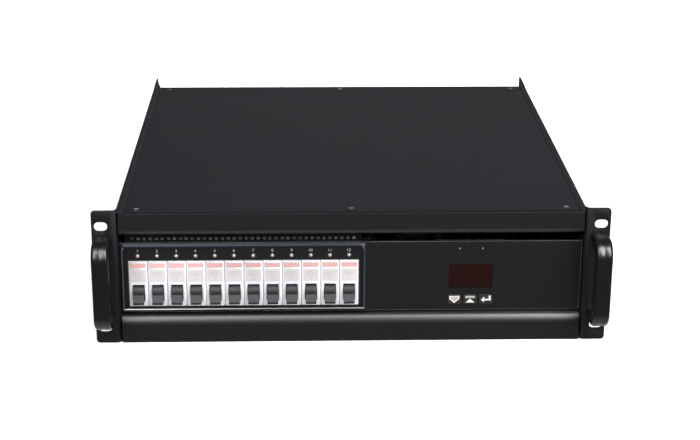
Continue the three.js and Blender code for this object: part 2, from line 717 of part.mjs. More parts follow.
function fanRotor() {
  const front = motorBack + fit.seat;
  const rotorDepth = fan.depth - fan.motorDepth - fan.rotorGap;
  const back = front + rotorDepth;
  const parts = [cylinderY(0, 0, fan.hubDiameter, front, back, steps.hole)];
  const tip = fanBore / 2 - fan.bladeGap;
  const root = fan.hubDiameter / 2 - fan.bladeSheet;
  const chord = rotorDepth / 2 - fan.bladeGap;
  for (let i = 0; i < fan.bladeCount; i += 1) {
    const blade = block(-fan.bladeSheet / 2, fan.bladeSheet / 2, -chord, chord, root, tip);
    blade.rotateZ(fan.bladeTwist * degrees);
    blade.translate(0, (front + back) / 2, 0);
    blade.rotateY(2 * Math.PI * i / fan.bladeCount);
    parts.push(blade);
  }
  return join(...parts);
}

const fanBlack = finish(0x202124, 0.5, 0);
for (const [name, x] of [['left', -fanX], ['right', fanX]]) {
  add(`${name}_fan_frame`, fanFrame(), fanBlack).position.set(x, 0, middle);
  add(`${name}_fan_rotor`, fanRotor(), fanBlack).position.set(x, 0, middle);
}

// Signal sockets: the inlet is a cup with three pins, and the outlet a ring gap round an insert with
// three contact holes, with a latch above them
const socketBack = rearFace + fit.seat;
const socketFace = socketBack + socket.flangeDepth;
const inletX = socket.x;
const outletX = socket.x + socket.spacing;

const socketFront = rearInside - socket.insideDepth;
const socketMouth = socketFace + socket.faceDepth;

function socketShell(x) {
  return join(
    alongY(rectangle(x, socket.z, socket.flangeWidth, socket.flangeHeight), socketBack, socketFace),
    cylinderY(x, socket.z, socket.shell, socketFront, socketMouth, steps.hole),
  );
}

// The three contacts lie on a circle, the odd one at the bottom
function contact(centreX, index, diameter, y0, y1) {
  const angle = socket.pinDegrees[index] * degrees;
  const x = centreX + socket.pinCircle * Math.cos(angle);
  const z = socket.z + socket.pinCircle * Math.sin(angle);
  return cylinderY(x, z, diameter, y0, y1, steps.small);
}

const cupFront = socketMouth - socket.cupDepth;
const cup = cylinderY(inletX, socket.z, socket.cup, cupFront, socketMouth + fit.overrun, steps.hole);
const inlet = [cut(socketShell(inletX), cup)];
const pinBack = socketMouth - socket.pinSetBack;
for (let i = 0; i < socket.pinDegrees.length; i += 1) {
  inlet.push(contact(inletX, i, socket.pin, cupFront - fit.seat, pinBack));
}
const nickel = finish(0x8d9094, 0.3, 0.9);
add('signal_input_socket', join(...inlet), nickel);

const latchSlot = block(
  outletX - latchHalf, outletX + latchHalf, socketMouth - latch.depth, socketMouth + fit.overrun,
  latchZ - latch.height / 2 - fit.running, latchZ + latch.height / 2 + fit.running,
);
const contactFront = socketMouth - socket.contactDepth;
const moat = cut(
  cylinderY(outletX, socket.z, socket.cup, contactFront, socketMouth + fit.overrun, steps.hole),
  cylinderY(
    outletX, socket.z, socket.insert,
    contactFront - fit.overrun, socketMouth + 2 * fit.overrun, steps.hole,
  ),
);
const outletCuts = [latchSlot, moat];
for (let i = 0; i < socket.pinDegrees.length; i += 1) {
  outletCuts.push(contact(outletX, i, socket.contact, contactFront, socketMouth + fit.overrun));
}
add('signal_output_socket', cut(socketShell(outletX), ...outletCuts), nickel);

const latchFront = socketMouth - latch.depth + latch.travel + fit.seat;
add('output_latch', block(
  outletX - latch.width / 2, outletX + latch.width / 2, latchFront, socketMouth + latch.proud,
  latchZ - latch.height / 2, latchZ + latch.height / 2,
), finish(0xa6a9ad, 0.3, 0.9));

// Supply gland: threaded body with a bore, its hexagon and dome outside and a lock nut inside
const glandFace = rearFace + fit.seat;
const glandDome = glandFace + gland.hexDepth + gland.domeDepth;
const glandInside = rearInside - gland.insideDepth;
const nutBack = rearInside - fit.seat;
add('supply_gland', cut(
  join(
    cylinderY(glandX, gland.z, gland.threadDiameter, glandInside, glandFace + fit.seat, steps.hole),
    cylinderY(glandX, gland.z, gland.nutDiameter, glandFace, glandFace + gland.hexDepth, steps.hex),
    cylinderY(glandX, gland.z, gland.domeDiameter, glandFace, glandDome, steps.hole),
    cylinderY(glandX, gland.z, gland.nutDiameter, nutBack - gland.nutDepth, nutBack, steps.hex),
  ),
  cylinderY(glandX, gland.z, gland.bore, glandInside - fit.overrun, glandDome + fit.overrun, steps.hole),
), finish(0x2b2c2e, 0.5, 0));

// Output terminal block: one insulated block through the rear panel, with a way for each circuit
const outputFace = rearFace + fit.seat + outputs.outsideDepth;
const outputWays = [];
for (let i = 0; i < outputs.wayCount; i += 1) {
  const pitch = outputs.width / outputs.wayCount;
  const x = outputX + pitch * (i - (outputs.wayCount - 1) / 2);
  outputWays.push(block(
    x - outputs.wayWidth / 2, x + outputs.wayWidth / 2, outputFace - outputs.wayDepth,
    outputFace + fit.overrun, outputZ - outputs.wayHeight / 2, outputZ + outputs.wayHeight / 2));
}
const outputHalf = outputs.width / 2;
add('output_terminal_block', cut(
  join(
    block(
      outputX - outputHalf, outputX + outputHalf, rearInside - outputs.insideDepth, outputFace,
      outputZ - outputs.height / 2, outputZ + outputs.height / 2,
    ),
    block(
      outputX - outputHalf - outputs.lip, outputX + outputHalf + outputs.lip,
      rearFace + fit.seat, rearFace + fit.seat + outputs.lipDepth,
      outputZ - outputs.height / 2 - outputs.lip, outputZ + outputs.height / 2 + outputs.lip,
    ),
  ),
  ...outputWays,
), finish(0x33343a, 0.5, 0));

// Heatsinks: combs of fins drawn out along the air stream, one in front of each fan
const sinkBack = fanFront - heatsink.fromFan;
const sinkFront = sinkBack - heatsink.length;
const sinkTop = floorTop + heatsink.height;

function heatsinkOutline() {
  const half = heatsink.width / 2;
  const gap = (heatsink.width - heatsink.fin) / (heatsink.finCount - 1);
  const under = sinkTop - heatsink.base;
  const points = [[half, sinkTop], [-half, sinkTop]];
  for (let i = 0; i < heatsink.finCount; i += 1) {
    const left = -half + gap * i;
    const outermost = i === 0 || i === heatsink.finCount - 1;
    const tip = outermost ? floorTop : floorTop + heatsink.lift;
    if (i > 0) {
      points.push([left, under]);
    }
    points.push([left, tip], [left + heatsink.fin, tip]);
    if (i < heatsink.finCount - 1) {
      points.push([left + heatsink.fin, under]);
    }
  }
  return points;
}

// Power boards: six thyristor modules that sit on a heatsink, under one circuit board
function powerBoard() {
  const moduleTop = sinkTop + fit.seat + power.moduleHeight;
  const boardHalf = heatsink.width / 2 - power.boardMargin;
  const pitch = heatsink.length / power.count;
  const parts = [block(
    -boardHalf, boardHalf, sinkFront + power.boardMargin, sinkBack - power.boardMargin,
    moduleTop - fit.seat, moduleTop + power.board,
  )];
  for (let i = 0; i < power.count; i += 1) {
    const y = sinkFront + pitch * (i + 1 / 2);
    parts.push(block(
      -power.moduleWidth / 2, power.moduleWidth / 2,
      y - power.moduleLength / 2, y + power.moduleLength / 2, sinkTop + fit.seat, moduleTop));
  }
  return join(...parts);
}

const aluminium = finish(0xb4b7bb, 0.4, 0.9);
for (const [name, x] of [['left', -fanX], ['right', fanX]]) {
  add(`${name}_heatsink`, alongY(heatsinkOutline(), sinkFront, sinkBack), aluminium).position.x = x;
  add(`${name}_power_board`, powerBoard(), boardGreen).position.x = x;
}

// Choke bank: twelve ring chokes, each held on one tray by a strap and a bolt through its middle. It
// stands beside the control board, which stands beside the right heatsink.
const sinkLeft = fanX - heatsink.width / 2;
const controlRight = sinkLeft - control.fromSink;
const controlLeft = controlRight - control.width;
const trayTop = floorTop + body.sheet;
const chokeRadius = choke.outer / 2;
const chokeHole = choke.inner / 2;
const trayHalfX = chokeSpacing * choke.columnCount / 2 + choke.trayMargin;
const trayX = controlLeft - choke.fromControl - trayHalfX;
const chokeParts = [block(trayX - trayHalfX, trayX + trayHalfX, trayFront, trayBack, floorTop, trayTop)];
const ringProfile = vectors([
  [chokeHole, 0], [chokeRadius - choke.edge, 0], [chokeRadius, choke.edge],
  [chokeRadius, choke.height - choke.edge], [chokeRadius - choke.edge, choke.height],
  [chokeHole, choke.height], [chokeHole, 0],
]);
for (let column = 0; column < choke.columnCount; column += 1) {
  for (let line = 0; line < choke.lineCount; line += 1) {
    const x = trayX + chokeSpacing * (column - (choke.columnCount - 1) / 2);
    const y = trayFront + choke.trayMargin + chokeSpacing * (line + 1 / 2);
    const ring = new THREE.LatheGeometry(ringProfile, steps.ring);
    ring.rotateX(Math.PI / 2).translate(x, y, trayTop - fit.seat);
    const strapHalf = (choke.inner + choke.bolt) / 2;
    const strapTop = trayTop + choke.height + fit.seat;
    chokeParts.push(ring);
    chokeParts.push(cylinderZ(
      x, y, choke.bolt, trayTop - fit.seat, strapTop + choke.boltRise, steps.small));
    chokeParts.push(block(
      x - strapHalf, x + strapHalf, y - choke.bolt / 2, y + choke.bolt / 2,
      strapTop - choke.boltRise, strapTop));
  }
}
add('choke_bank', join(...chokeParts), finish(0x8a5a2a, 0.45, 0.3));

// Control board: circuit board on four posts with its transformer, processor and capacitor
const controlMiddle = (controlLeft + controlRight) / 2;
const controlFront = footBack + control.fromBracket;
const controlBack = controlFront + control.length;
const controlBottom = floorTop + control.lift;
const controlTop = controlBottom + control.sheet;
const coilX = controlLeft + control.coilInset + control.coilWidth / 2;
const coilY = controlBack - control.coilInset - control.coilLength / 2;
const chipY = controlFront + control.length / 3;
const controlParts = [
  block(controlLeft, controlRight, controlFront, controlBack, controlBottom, controlTop),
  block(
    coilX - control.coilWidth / 2, coilX + control.coilWidth / 2,
    coilY - control.coilLength / 2, coilY + control.coilLength / 2,
    controlTop - fit.seat, controlTop + control.coilHeight,
  ),
  block(
    controlMiddle - control.chip / 2, controlMiddle + control.chip / 2,
    chipY - control.chip / 2, chipY + control.chip / 2,
    controlTop - fit.seat, controlTop + control.chipHeight,
  ),
  cylinderZ(
    controlRight - control.capDiameter, (chipY + coilY) / 2, control.capDiameter,
    controlTop - fit.seat, controlTop + control.capHeight, steps.hole,
  ),
];
for (const x of [controlLeft + control.postInset, controlRight - control.postInset]) {
  for (const y of [controlFront + control.postInset, controlBack - control.postInset]) {
    controlParts.push(cylinderZ(x, y, control.post, floorTop, controlBottom + fit.seat, steps.small));
  }
}
add('control_board', join(...controlParts), boardGreen);

// Supply terminal block: five poles between barriers, on the floor near the gland
const poleWidth = (supply.width - supply.barrier) / supply.poleCount;
const poleCuts = [];
const supplyRight = sinkLeft - supply.fromSink;
const supplyLeft = supplyRight - supply.width;
const supplyBack = rearInside - supply.fromRear;
const supplyFront = supplyBack - supply.length;
const supplyTop = floorTop + supply.height;
for (let i = 0; i < supply.poleCount; i += 1) {
  const x = supplyLeft + supply.barrier + poleWidth * i;
  for (const y of [supplyFront + supply.step / 2, supplyBack - supply.step / 2]) {
    poleCuts.push(block(
      x, x + poleWidth - supply.barrier, y - supply.step, y + supply.step,
      supplyTop - supply.step, supplyTop + fit.overrun));
  }
}
add('supply_terminal_block', cut(
  block(supplyLeft, supplyRight, supplyFront, supplyBack, floorTop, supplyTop),
  ...poleCuts,
), finish(0x3b3c42, 0.55, 0));

// The origin lies on the floor, midway between the front of the handles and the tips of the wings
group.position.y = (handle.reach - wingTip) / 2;

export default group;
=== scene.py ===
"""The looks of a rack dimmer pack, three units high, with a row of breakers, a display, three keys, two front
handles and a rear panel with fans, terminals and signal sockets. Lengths are in metres, in the CAD model's frame:
X to the right as seen from the front, Y to the rear and Z up."""

import math

import bmesh
import bpy
import numpy as np
from mathutils import Matrix, Vector


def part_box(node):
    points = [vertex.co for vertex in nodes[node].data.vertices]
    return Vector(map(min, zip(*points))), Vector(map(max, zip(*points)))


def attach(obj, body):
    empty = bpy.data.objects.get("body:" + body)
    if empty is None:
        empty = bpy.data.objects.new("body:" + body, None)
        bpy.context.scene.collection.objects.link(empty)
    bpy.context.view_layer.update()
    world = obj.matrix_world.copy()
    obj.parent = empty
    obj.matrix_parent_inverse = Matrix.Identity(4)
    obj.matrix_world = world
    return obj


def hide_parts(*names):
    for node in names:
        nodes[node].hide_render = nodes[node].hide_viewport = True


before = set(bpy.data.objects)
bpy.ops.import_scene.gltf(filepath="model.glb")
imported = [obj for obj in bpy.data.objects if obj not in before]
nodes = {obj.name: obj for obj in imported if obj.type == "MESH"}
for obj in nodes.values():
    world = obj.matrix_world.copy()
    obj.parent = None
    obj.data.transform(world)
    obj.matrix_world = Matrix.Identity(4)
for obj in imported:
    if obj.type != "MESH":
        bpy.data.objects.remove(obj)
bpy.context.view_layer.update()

# Camera
# It stands where the photograph was taken from: a little left of the middle, well above the cover, with a long
# lens. The lens is for a picture 700 pixels wide on a 36 mm sensor.
MM = 0.001
eye = Vector((-0.0489, -1.633, 0.6312))
turn, tilt, roll = math.radians(1.902), math.radians(19.83), math.radians(0.317)
ahead = Vector((math.sin(turn) * math.cos(tilt), math.cos(turn) * math.cos(tilt), -math.sin(tilt)))
level = Vector((math.cos(turn), -math.sin(turn), 0))
upright = level.cross(ahead)
right = level * math.cos(roll) + upright * math.sin(roll)
up = upright * math.cos(roll) - level * math.sin(roll)
camera = bpy.data.objects.new("camera", bpy.data.cameras.new("camera"))
camera.data.lens = 83.28
camera.data.sensor_width = 36
camera.matrix_world = Matrix.Translation(eye) @ Matrix((right, up, -ahead)).transposed().to_4x4()
bpy.context.scene.collection.objects.link(camera)
bpy.context.scene.camera = camera
bpy.context.scene.view_settings.view_transform = "Standard"


# Studio
# A wide white sheet, light grey in its middle, lies in a grey room. The object's gloss mirrors the room's pale floor
# in its place. Two tall soft boxes stand over the camera, a faint one far behind, and one lights the sheet there.
def woven(rows, columns, close_rows=False, close_columns=False):
    """Four-sided faces between the neighbours of a grid of points. A closed grid joins its last row or column
    to its first."""
    index = np.arange(rows * columns).reshape(rows, columns)
    if close_rows:
        index = np.vstack([index, index[:1]])
    if close_columns:
        index = np.hstack([index, index[:, :1]])
    corners = [index[:-1, :-1], index[:-1, 1:], index[1:, 1:], index[1:, :-1]]
    return np.stack(corners, -1).reshape(-1, 4).tolist()


def new_object(name, points, faces):
    """An object at the origin with these points and faces in its mesh."""
    mesh = bpy.data.meshes.new(name)
    mesh.from_pydata(np.asarray(points, float).reshape(-1, 3).tolist(), [], faces)
    made = bpy.data.objects.new(name, mesh)
    bpy.context.scene.collection.objects.link(made)
    return made


def wire(tree, kind, output=0, properties=(), **inputs):
    """One shader node. Each input is filled with a value or linked to another node's output."""
    made = tree.nodes.new(kind)
    for name, value in dict(properties).items():
        setattr(made, name, value)
    for name, value in inputs.items():
        socket = made.inputs[int(name[1:]) if name[1:].isdigit() else name.replace("_", " ")]
        if isinstance(value, bpy.types.NodeSocket):
            tree.links.new(value, socket)
        else:
            socket.default_value = value
    return made.outputs[output]


def new_material(name, colour, roughness, metallic=0.0, **sockets):
    """A material whose even values are set on the shader's own sockets."""
    material = bpy.data.materials.new(name)
    material.use_nodes = True
    shader = material.node_tree.nodes["Principled BSDF"]
    shader.inputs["Base Color"].default_value = (*colour, 1)
    shader.inputs["Roughness"].default_value = roughness
    shader.inputs["Metallic"].default_value = metallic
    for socket, value in sockets.items():
        shader.inputs[socket.replace("_", " ")].default_value = value
    return material, material.node_tree, shader


def grain(tree, scale, detail=2.0, stretch=(1, 1, 1)):
    """Noise on the object's own coordinates, in features per metre, from about 0 to 1."""
    place = wire(tree, "ShaderNodeTexCoord", "Object")
    place = wire(tree, "ShaderNodeMapping", Vector=place, Scale=stretch)
    return wire(tree, "ShaderNodeTexNoise", Vector=place, Scale=scale, Detail=detail)


def relief(tree, shader, height, depth):
    """Raises the surface by a height pattern, to a depth in metres."""
    bump = wire(tree, "ShaderNodeBump", Height=height, Strength=1.0, Distance=depth)
    tree.links.new(bump, shader.inputs["Normal"])


paper, paper_tree, paper_shader = new_material("pale_sheet", (0.9, 0.9, 0.9), 0.8, Specular_IOR_Level=0.1)
from_middle = wire(paper_tree, "ShaderNodeVectorMath", "Value", {"operation": "LENGTH"},
                   i0=wire(paper_tree, "ShaderNodeTexCoord", "Object"))
# The sheet is painted darker towards its middle, where the lamps light it most: painted shade, so that it looks
# evenly bright.
tint = wire(paper_tree, "ShaderNodeMapRange", properties={"interpolation_type": "SMOOTHSTEP"}, Value=from_middle,
            From_Min=0.35, From_Max=1.2, To_Min=0.48, To_Max=0.9)
paper_tree.links.new(tint, paper_shader.inputs["Base Color"])
relief(paper_tree, paper_shader, grain(paper_tree, 60.0, 3.0), 0.05 * MM)
sheet_half = 8.0
sheet_sides = np.array([-sheet_half, sheet_half])
sheet_corners = np.stack([*np.meshgrid(sheet_sides, sheet_sides, indexing="ij"), np.zeros((2, 2))], -1)
floor_sheet = new_object("floor_sheet", sheet_corners, woven(2, 2))
floor_sheet.data.flip_normals()
floor_sheet.data.materials.append(paper)
floor_sheet.visible_glossy = False

world = bpy.data.worlds.new("studio")
bpy.context.scene.world = world
world.use_nodes = True
world_tree = world.node_tree
heading = wire(world_tree, "ShaderNodeSeparateXYZ", "Z", Vector=wire(world_tree, "ShaderNodeTexCoord", "Generated"))
glow = wire(world_tree, "ShaderNodeMapRange", properties={"interpolation_type": "SMOOTHSTEP"}, Value=heading,
            From_Min=-0.38, From_Max=-0.85, To_Min=0.13, To_Max=1.05)
world_tree.links.new(glow, world_tree.nodes["Background"].inputs["Strength"])
world_tree.nodes["Background"].inputs["Color"].default_value = (0.93, 0.96, 1.0, 1)


def soft_box(name, place, aim, width, height, watts, colour):
    """A flat lamp at place, turned to face aim."""
    lamp = bpy.data.objects.new(name, bpy.data.lights.new(name, "AREA"))
    lamp.data.shape = "RECTANGLE"
    lamp.data.size, lamp.data.size_y = width, height
    lamp.data.energy = watts
    lamp.data.color = colour
    lamp.location = place
    lamp.rotation_euler = (Vector(aim) - Vector(place)).to_track_quat("-Z", "Y").to_euler()
    bpy.context.scene.collection.objects.link(lamp)
    return lamp


soft_box("left_box", (-0.8, -1.5, 1.4), (0, -0.2, 0), 1.1, 1.9, 88, (0.93, 0.97, 1.0))
soft_box("right_box", (1.0, -1.5, 1.4), (0, -0.2, 0), 1.1, 1.9, 140, (1.0, 0.995, 0.98))
soft_box("rear_box", (0.7, 3.4, 1.4), (0, 0, 0.1), 3.0, 1.2, 4.5, (0.95, 0.97, 1.0))
soft_box("floor_box", (-0.4, 1.4, 3.0), (-0.4, 1.4, 0), 5.0, 5.0, 230, (1.0, 1.0, 1.0)).visible_glossy = False


# Side panels
# Folded sheets of 2 mm steel, powder coated in black, which leaves a fine even pebble. Their folded and cut edges
# are painted a little lighter: partly the thinner coat there, partly a painted highlight along them. The ears are
# bent out of the side panels, and the wings guard what is plugged in behind.
def between(tree, factor, low, high):
    """The value or colour that lies between low and high, by a factor from 0 to 1."""
    if isinstance(low, tuple):
        return wire(tree, "ShaderNodeMix", 2, {"data_type": "RGBA"}, i0=factor, i6=(*low, 1), i7=(*high, 1))
    return wire(tree, "ShaderNodeMapRange", Value=factor, To_Min=low, To_Max=high)


def stronger(tree, factor):
    """The factor's middle range, from 0.35 to 0.65, spread over 0 to 1."""
    return wire(tree, "ShaderNodeMapRange", Value=factor, From_Min=0.35, From_Max=0.65)


def edge_mask(tree, radius):
    """About 0 on flat faces and up to 1 on outer and inner edges, from a rounded copy of the normal."""
    rounded = wire(tree, "ShaderNodeBevel", properties={"samples": 4}, Radius=radius)
    flat = wire(tree, "ShaderNodeNewGeometry", "Normal")
    closeness = wire(tree, "ShaderNodeVectorMath", "Value", {"operation": "DOT_PRODUCT"}, i0=rounded, i1=flat)
    return wire(tree, "ShaderNodeMapRange", Value=closeness, From_Min=1.0, From_Max=0.93)


def finished(name, colour, roughness, grain_size, grain_depth, mottle=0.06, edge=0.0, edge_colour=(0.3, 0.31, 0.33),
             stretch=(1, 1, 1), metallic=0.0, **sockets):
    """A finish with a fine relief, mottled colour and gloss, and edges painted towards an edge colour: in part
    the edge's own thinner coat or bare core, in part a painted highlight along the edges. The relief's grains are of
    the given size in metres, and a stretch below 1 draws them out along that axis, as brushing or rolling does."""
    material, tree, shader = new_material(name, colour, roughness, metallic, **sockets)
    cloud = stronger(tree, grain(tree, 9, 4.0))
    shade = between(tree, cloud, tuple((1 - mottle) * c for c in colour), tuple((1 + mottle) * c for c in colour))
    if edge:
        # Edges are painted lighter, towards the edge colour: partly the edge's own thinner coat or bare core, partly
        # a painted highlight.
        mask = edge_mask(tree, 0.5 * MM)
        edge_wear_and_highlight = wire(tree, "ShaderNodeMath", properties={"operation": "MULTIPLY"}, i0=mask, i1=edge)
        shade = wire(tree, "ShaderNodeMix", 2, {"data_type": "RGBA"}, i0=edge_wear_and_highlight, i6=shade, i7=(*edge_colour, 1))
    tree.links.new(shade, shader.inputs["Base Color"])
    streaks = grain(tree, 1 / grain_size, 2.0, stretch)
    gloss = between(tree, streaks, roughness - 0.07, roughness + 0.07)
    tree.links.new(gloss, shader.inputs["Roughness"])
    relief(tree, shader, streaks, grain_depth)
    return material


def eased(made, width):
    """Rounds the piece's sharp edges over with a live bevel, and shades the rest smooth."""
    bevel = made.modifiers.new("eased_edges", "BEVEL")
    bevel.width = width
    bevel.segments = 2
    bevel.limit_method = "ANGLE"
    bevel.angle_limit = math.radians(30)
    bevel.harden_normals = True
    bevel.miter_outer = "MITER_ARC"
    made.data.shade_smooth()


def cleaned(made, flat=None):
    """Merges doubled points and turns faces outward, or joins faces that lie flat together."""
    shape = bmesh.new()
    shape.from_mesh(made.data)
    bmesh.ops.remove_doubles(shape, verts=shape.verts, dist=0.001 * MM)
    if flat:
        bmesh.ops.dissolve_limit(shape, angle_limit=flat, verts=shape.verts, edges=shape.edges)
    else:
        bmesh.ops.recalc_face_normals(shape, faces=shape.faces)
    shape.to_mesh(made.data)
    shape.free()
    return made


def placed(made, material, body, slot, *replaced):
    """Gives a piece its material and its body, and hides the nodes that it stands for. The slot is not used."""
    made.data.materials.clear()
    made.data.materials.append(material)
    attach(made, body)
    if replaced:
        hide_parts(*replaced)
    return made


def refined(node, body, width, material, slot):
    """A copy of a CAD node with whole flat faces and eased edges, which then stands for the node."""
    made = bpy.data.objects.new(node + "_part", nodes[node].data.copy())
    bpy.context.scene.collection.objects.link(made)
    eased(cleaned(made, math.radians(0.5)), width)
    return placed(made, material, body, slot, node)


def folded(made, edge_radius, front, rear):
    """Rounds the fold along the top of a side panel, its highest and outermost edge, between two places in Y."""
    shape = bmesh.new()
    shape.from_mesh(made.data)
    for end in (front, rear):
        bmesh.ops.bisect_plane(shape, geom=[*shape.verts, *shape.edges, *shape.faces], plane_co=(0, end, 0),
                               plane_no=(0, 1, 0))
    long_edges = [edge for edge in shape.edges if edge.calc_length() > rear - front - 1 * MM
                  and front < (edge.verts[0].co.y + edge.verts[1].co.y) / 2 < rear]
    reach = [min(abs(vertex.co.x) + vertex.co.z for vertex in edge.verts) for edge in long_edges]
    fold = [edge for edge, far in zip(long_edges, reach) if far > max(reach) - 0.01 * MM]
    bmesh.ops.bevel(shape, geom=fold, offset=edge_radius, segments=6, profile=0.5, affect="EDGES",
                    clamp_overlap=True)
    shape.to_mesh(made.data)
    shape.free()


powder_black = finished("powder_black", (0.0012, 0.0014, 0.002), 0.5, 0.7 * MM, 0.03 * MM, edge=0.01,
                        Specular_IOR_Level=0.2)
fold_radius, fold_front, fold_rear = 1.6 * MM, -211 * MM, 214 * MM
for node in ("left_side_panel", "right_side_panel"):
    side_panel = refined(node, "chassis", 0.45 * MM, powder_black, "black_powder_coat")
    folded(side_panel, fold_radius, fold_front, fold_rear)


# Top cover
# One flat steel sheet between the side flanges, powder coated like them. Two shallow folds run across it near its
# rear edge, and it is held by six screws.
def joined(*shells):
    """Several shells, each points and faces, as one."""
    points, faces, start = [], [], 0
    for shell_points, shell_faces in shells:
        flat = np.asarray(shell_points, float).reshape(-1, 3)
        points.append(flat)
        faces += [[start + corner for corner in face] for face in shell_faces]
        start += len(flat)
    return np.concatenate(points), faces


def tube(points, close_rows=False):
    """A skin through rows of points, each row a closed loop, with a flat face on each open end."""
    points = np.asarray(points, float)
    rows, columns = points.shape[:2]
    faces = woven(rows, columns, close_rows, True)
    if not close_rows:
        faces += [list(range(columns))[::-1], list(range((rows - 1) * columns, rows * columns))]
    return points, faces


def along_x(outline, *stops):
    """A closed outline in Y and Z carried along X: each stop holds the outline again, moved to that X."""
    outline = np.asarray(outline, float)
    return tube([np.column_stack([np.full(len(outline), x), outline]) for x in stops])


def piece(name, shell, material, body, slot, *replaced, sharp=35, ease=0.0):
    """A piece made of a shell, with its faces turned outward, its creases kept sharp and its edges eased."""
    made = cleaned(new_object(name, *shell))
    if ease:
        eased(made, ease)
    made.data.shade_smooth()
    made.data.set_sharp_from_angle(angle=math.radians(sharp))
    return placed(made, material, body, slot, *replaced)


cover_low, cover_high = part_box("top_cover")
rack_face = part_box("left_side_panel")[0].y
fold_sink, fold_half = 0.25 * MM, 1.0 * MM
cover_top = [(cover_high.y, cover_high.z)]
for fold_y in (cover_high.y - 4 * MM, cover_high.y - 20 * MM):
    cover_top += [(fold_y + fold_half, cover_high.z), (fold_y + fold_half / 2, cover_high.z - fold_sink),
                  (fold_y - fold_half / 2, cover_high.z - fold_sink), (fold_y - fold_half, cover_high.z)]
cover_outline = [(cover_low.y, cover_low.z), (cover_high.y, cover_low.z), *cover_top, (cover_low.y, cover_high.z)]
piece("cover_sheet", along_x(cover_outline, cover_low.x, cover_high.x), powder_black, "chassis",
      "black_powder_coat", "top_cover", sharp=20)


# Cover screws
# Blackened pan-head screws with a cross recess, three along the front edge of the cover and three along its rear
# edge, driven into the upper rail and the rear panel's flange.
def towards(outward):
    """Three directions at right angles, as rows, the last of them outward."""
    outward = np.asarray(outward, float)
    side = np.cross((0, 0, 1), outward) if abs(outward[2]) < 0.9 else np.array([1.0, 0, 0])
    side = side / np.linalg.norm(side)
    return np.stack([side, np.cross(outward, side), outward])


def screw_head(place, outward, radius, rise, turned=0.0):
    """A head with a cross recess. Its height is a low dome, rise times one less half the square of the radius's
    share, less the recess where a point lies within half a bar's width of either bar, and its rim goes straight
    down into the seat."""
    share = np.append(np.linspace(0, 1, 19), 1)[:, None]
    around = np.linspace(0, 2 * math.pi, 48, endpoint=False)[None]
    across, along = share * np.cos(around), share * np.sin(around)
    nearer, farther = np.minimum(abs(across), abs(along)), np.maximum(abs(across), abs(along))
    recess = np.clip((0.15 - nearer) / 0.06, 0, 1) * np.clip((0.62 - farther) / 0.08, 0, 1)
    height = rise * (1 - 0.5 * share**2 - 0.75 * recess)
    height[-1] = -0.3 * MM
    spun = np.stack([np.cos(turned) * across - np.sin(turned) * along,
                     np.sin(turned) * across + np.cos(turned) * along], -1) * radius
    points = np.concatenate([spun, height[..., None]], -1) @ towards(outward) + np.asarray(place)
    rows, columns = points.shape[:2]
    return points, woven(rows, columns, False, True) + [list(range((rows - 1) * columns, rows * columns))]


black_zinc = finished("black_zinc", (0.03, 0.03, 0.032), 0.38, 0.4 * MM, 0.008 * MM, mottle=0.15, edge=0.3,
                      metallic=0.6)
turns = np.random.default_rng(11).uniform(0, math.pi / 2, 120)
cover_places = [(x, y) for x in (-200, -0.8, 200) for y in (7, 427)]
cover_screws = [screw_head((x * MM, rack_face + y * MM, cover_high.z), (0, 0, 1), 2.9 * MM, 1.0 * MM, turns[i])
                for i, (x, y) in enumerate(cover_places)]
piece("cover_screws", joined(*cover_screws), black_zinc, "chassis", "black_powder_coat")


# Front rails
# Two open channels of 2.5 mm aluminium, painted satin black. Each turns into the recess with a round edge: the
# lower one is wide and catches the light.
def channel_outline(height, bend_size, foot, wall, lip, flange):
    """A channel's outline in Y and Z: front wall, flange at the foot, and a lip at the top, which leaves the wall
    through a quarter of an ellipse. Its points are its centre plus its depth and height times each direction."""
    bend = np.radians(np.linspace(180, 90, 17))
    directions = np.column_stack([np.cos(bend), np.sin(bend)])
    bend_size = np.array(bend_size)
    centre = np.array([bend_size[0], height - bend_size[1]])
    inner = centre + (bend_size - wall) * directions
    outer = centre + bend_size * directions
    foot_points = [(0, 0), (wall, 0), (wall, foot), (flange, foot), (flange, foot + wall), (wall, foot + wall)]
    return np.vstack([foot_points, inner, [(lip, height - wall), (lip, height)], outer[::-1]])


# Its edges are painted a little lighter, which adds a painted highlight to the rails' edges.
satin_black = finished("satin_black", (0.001, 0.0011, 0.0013), 0.36, 0.35 * MM, 0.006 * MM, edge=0.02,
                       Specular_IOR_Level=0.48)
rail_wall, rail_lip, rail_flange = 2.5 * MM, 14 * MM, 16 * MM
for name, bend_size, foot, over in (("lower_front_rail", (8 * MM, 10.5 * MM), 2.3 * MM, False),
                                    ("upper_front_rail", (7 * MM, 7 * MM), 0.0, True)):
    low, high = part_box(name)
    outline = channel_outline(high.z - low.z, bend_size, foot, rail_wall, rail_lip, rail_flange)
    if over:
        outline = outline * (1, -1) + (0, high.z - low.z)
    piece(name + "_section", along_x(outline + (low.y, low.z), low.x, high.x), satin_black, "chassis",
          "satin_black_panel", name, ease=0.12 * MM)


# Front panel
# A 3 mm plate, painted satin black, set back between the rails. It has openings for the breakers, the display,
# the keys and the lamps, and its end flanges are screwed to the side panels.
def rounded_outline(x, z, width, height, radius, steps=7):
    """A rounded rectangle in X and Z: each corner is an arc, its centre plus the radius times each direction."""
    angles = np.radians(np.arange(0, 360, 90)[:, None] + np.linspace(0, 90, steps))
    centres = np.array([(1, 1), (-1, 1), (-1, -1), (1, -1)]) * (width / 2 - radius, height / 2 - radius)
    arcs = centres[:, None] + radius * np.stack([np.cos(angles), np.sin(angles)], -1)
    return arcs.reshape(-1, 2) + (x, z)


def round_outline(x, z, radius, steps=32):
    """A circle in X and Z."""
    angles = np.linspace(0, 2 * math.pi, steps, endpoint=False)
    return np.column_stack([x + radius * np.cos(angles), z + radius * np.sin(angles)])


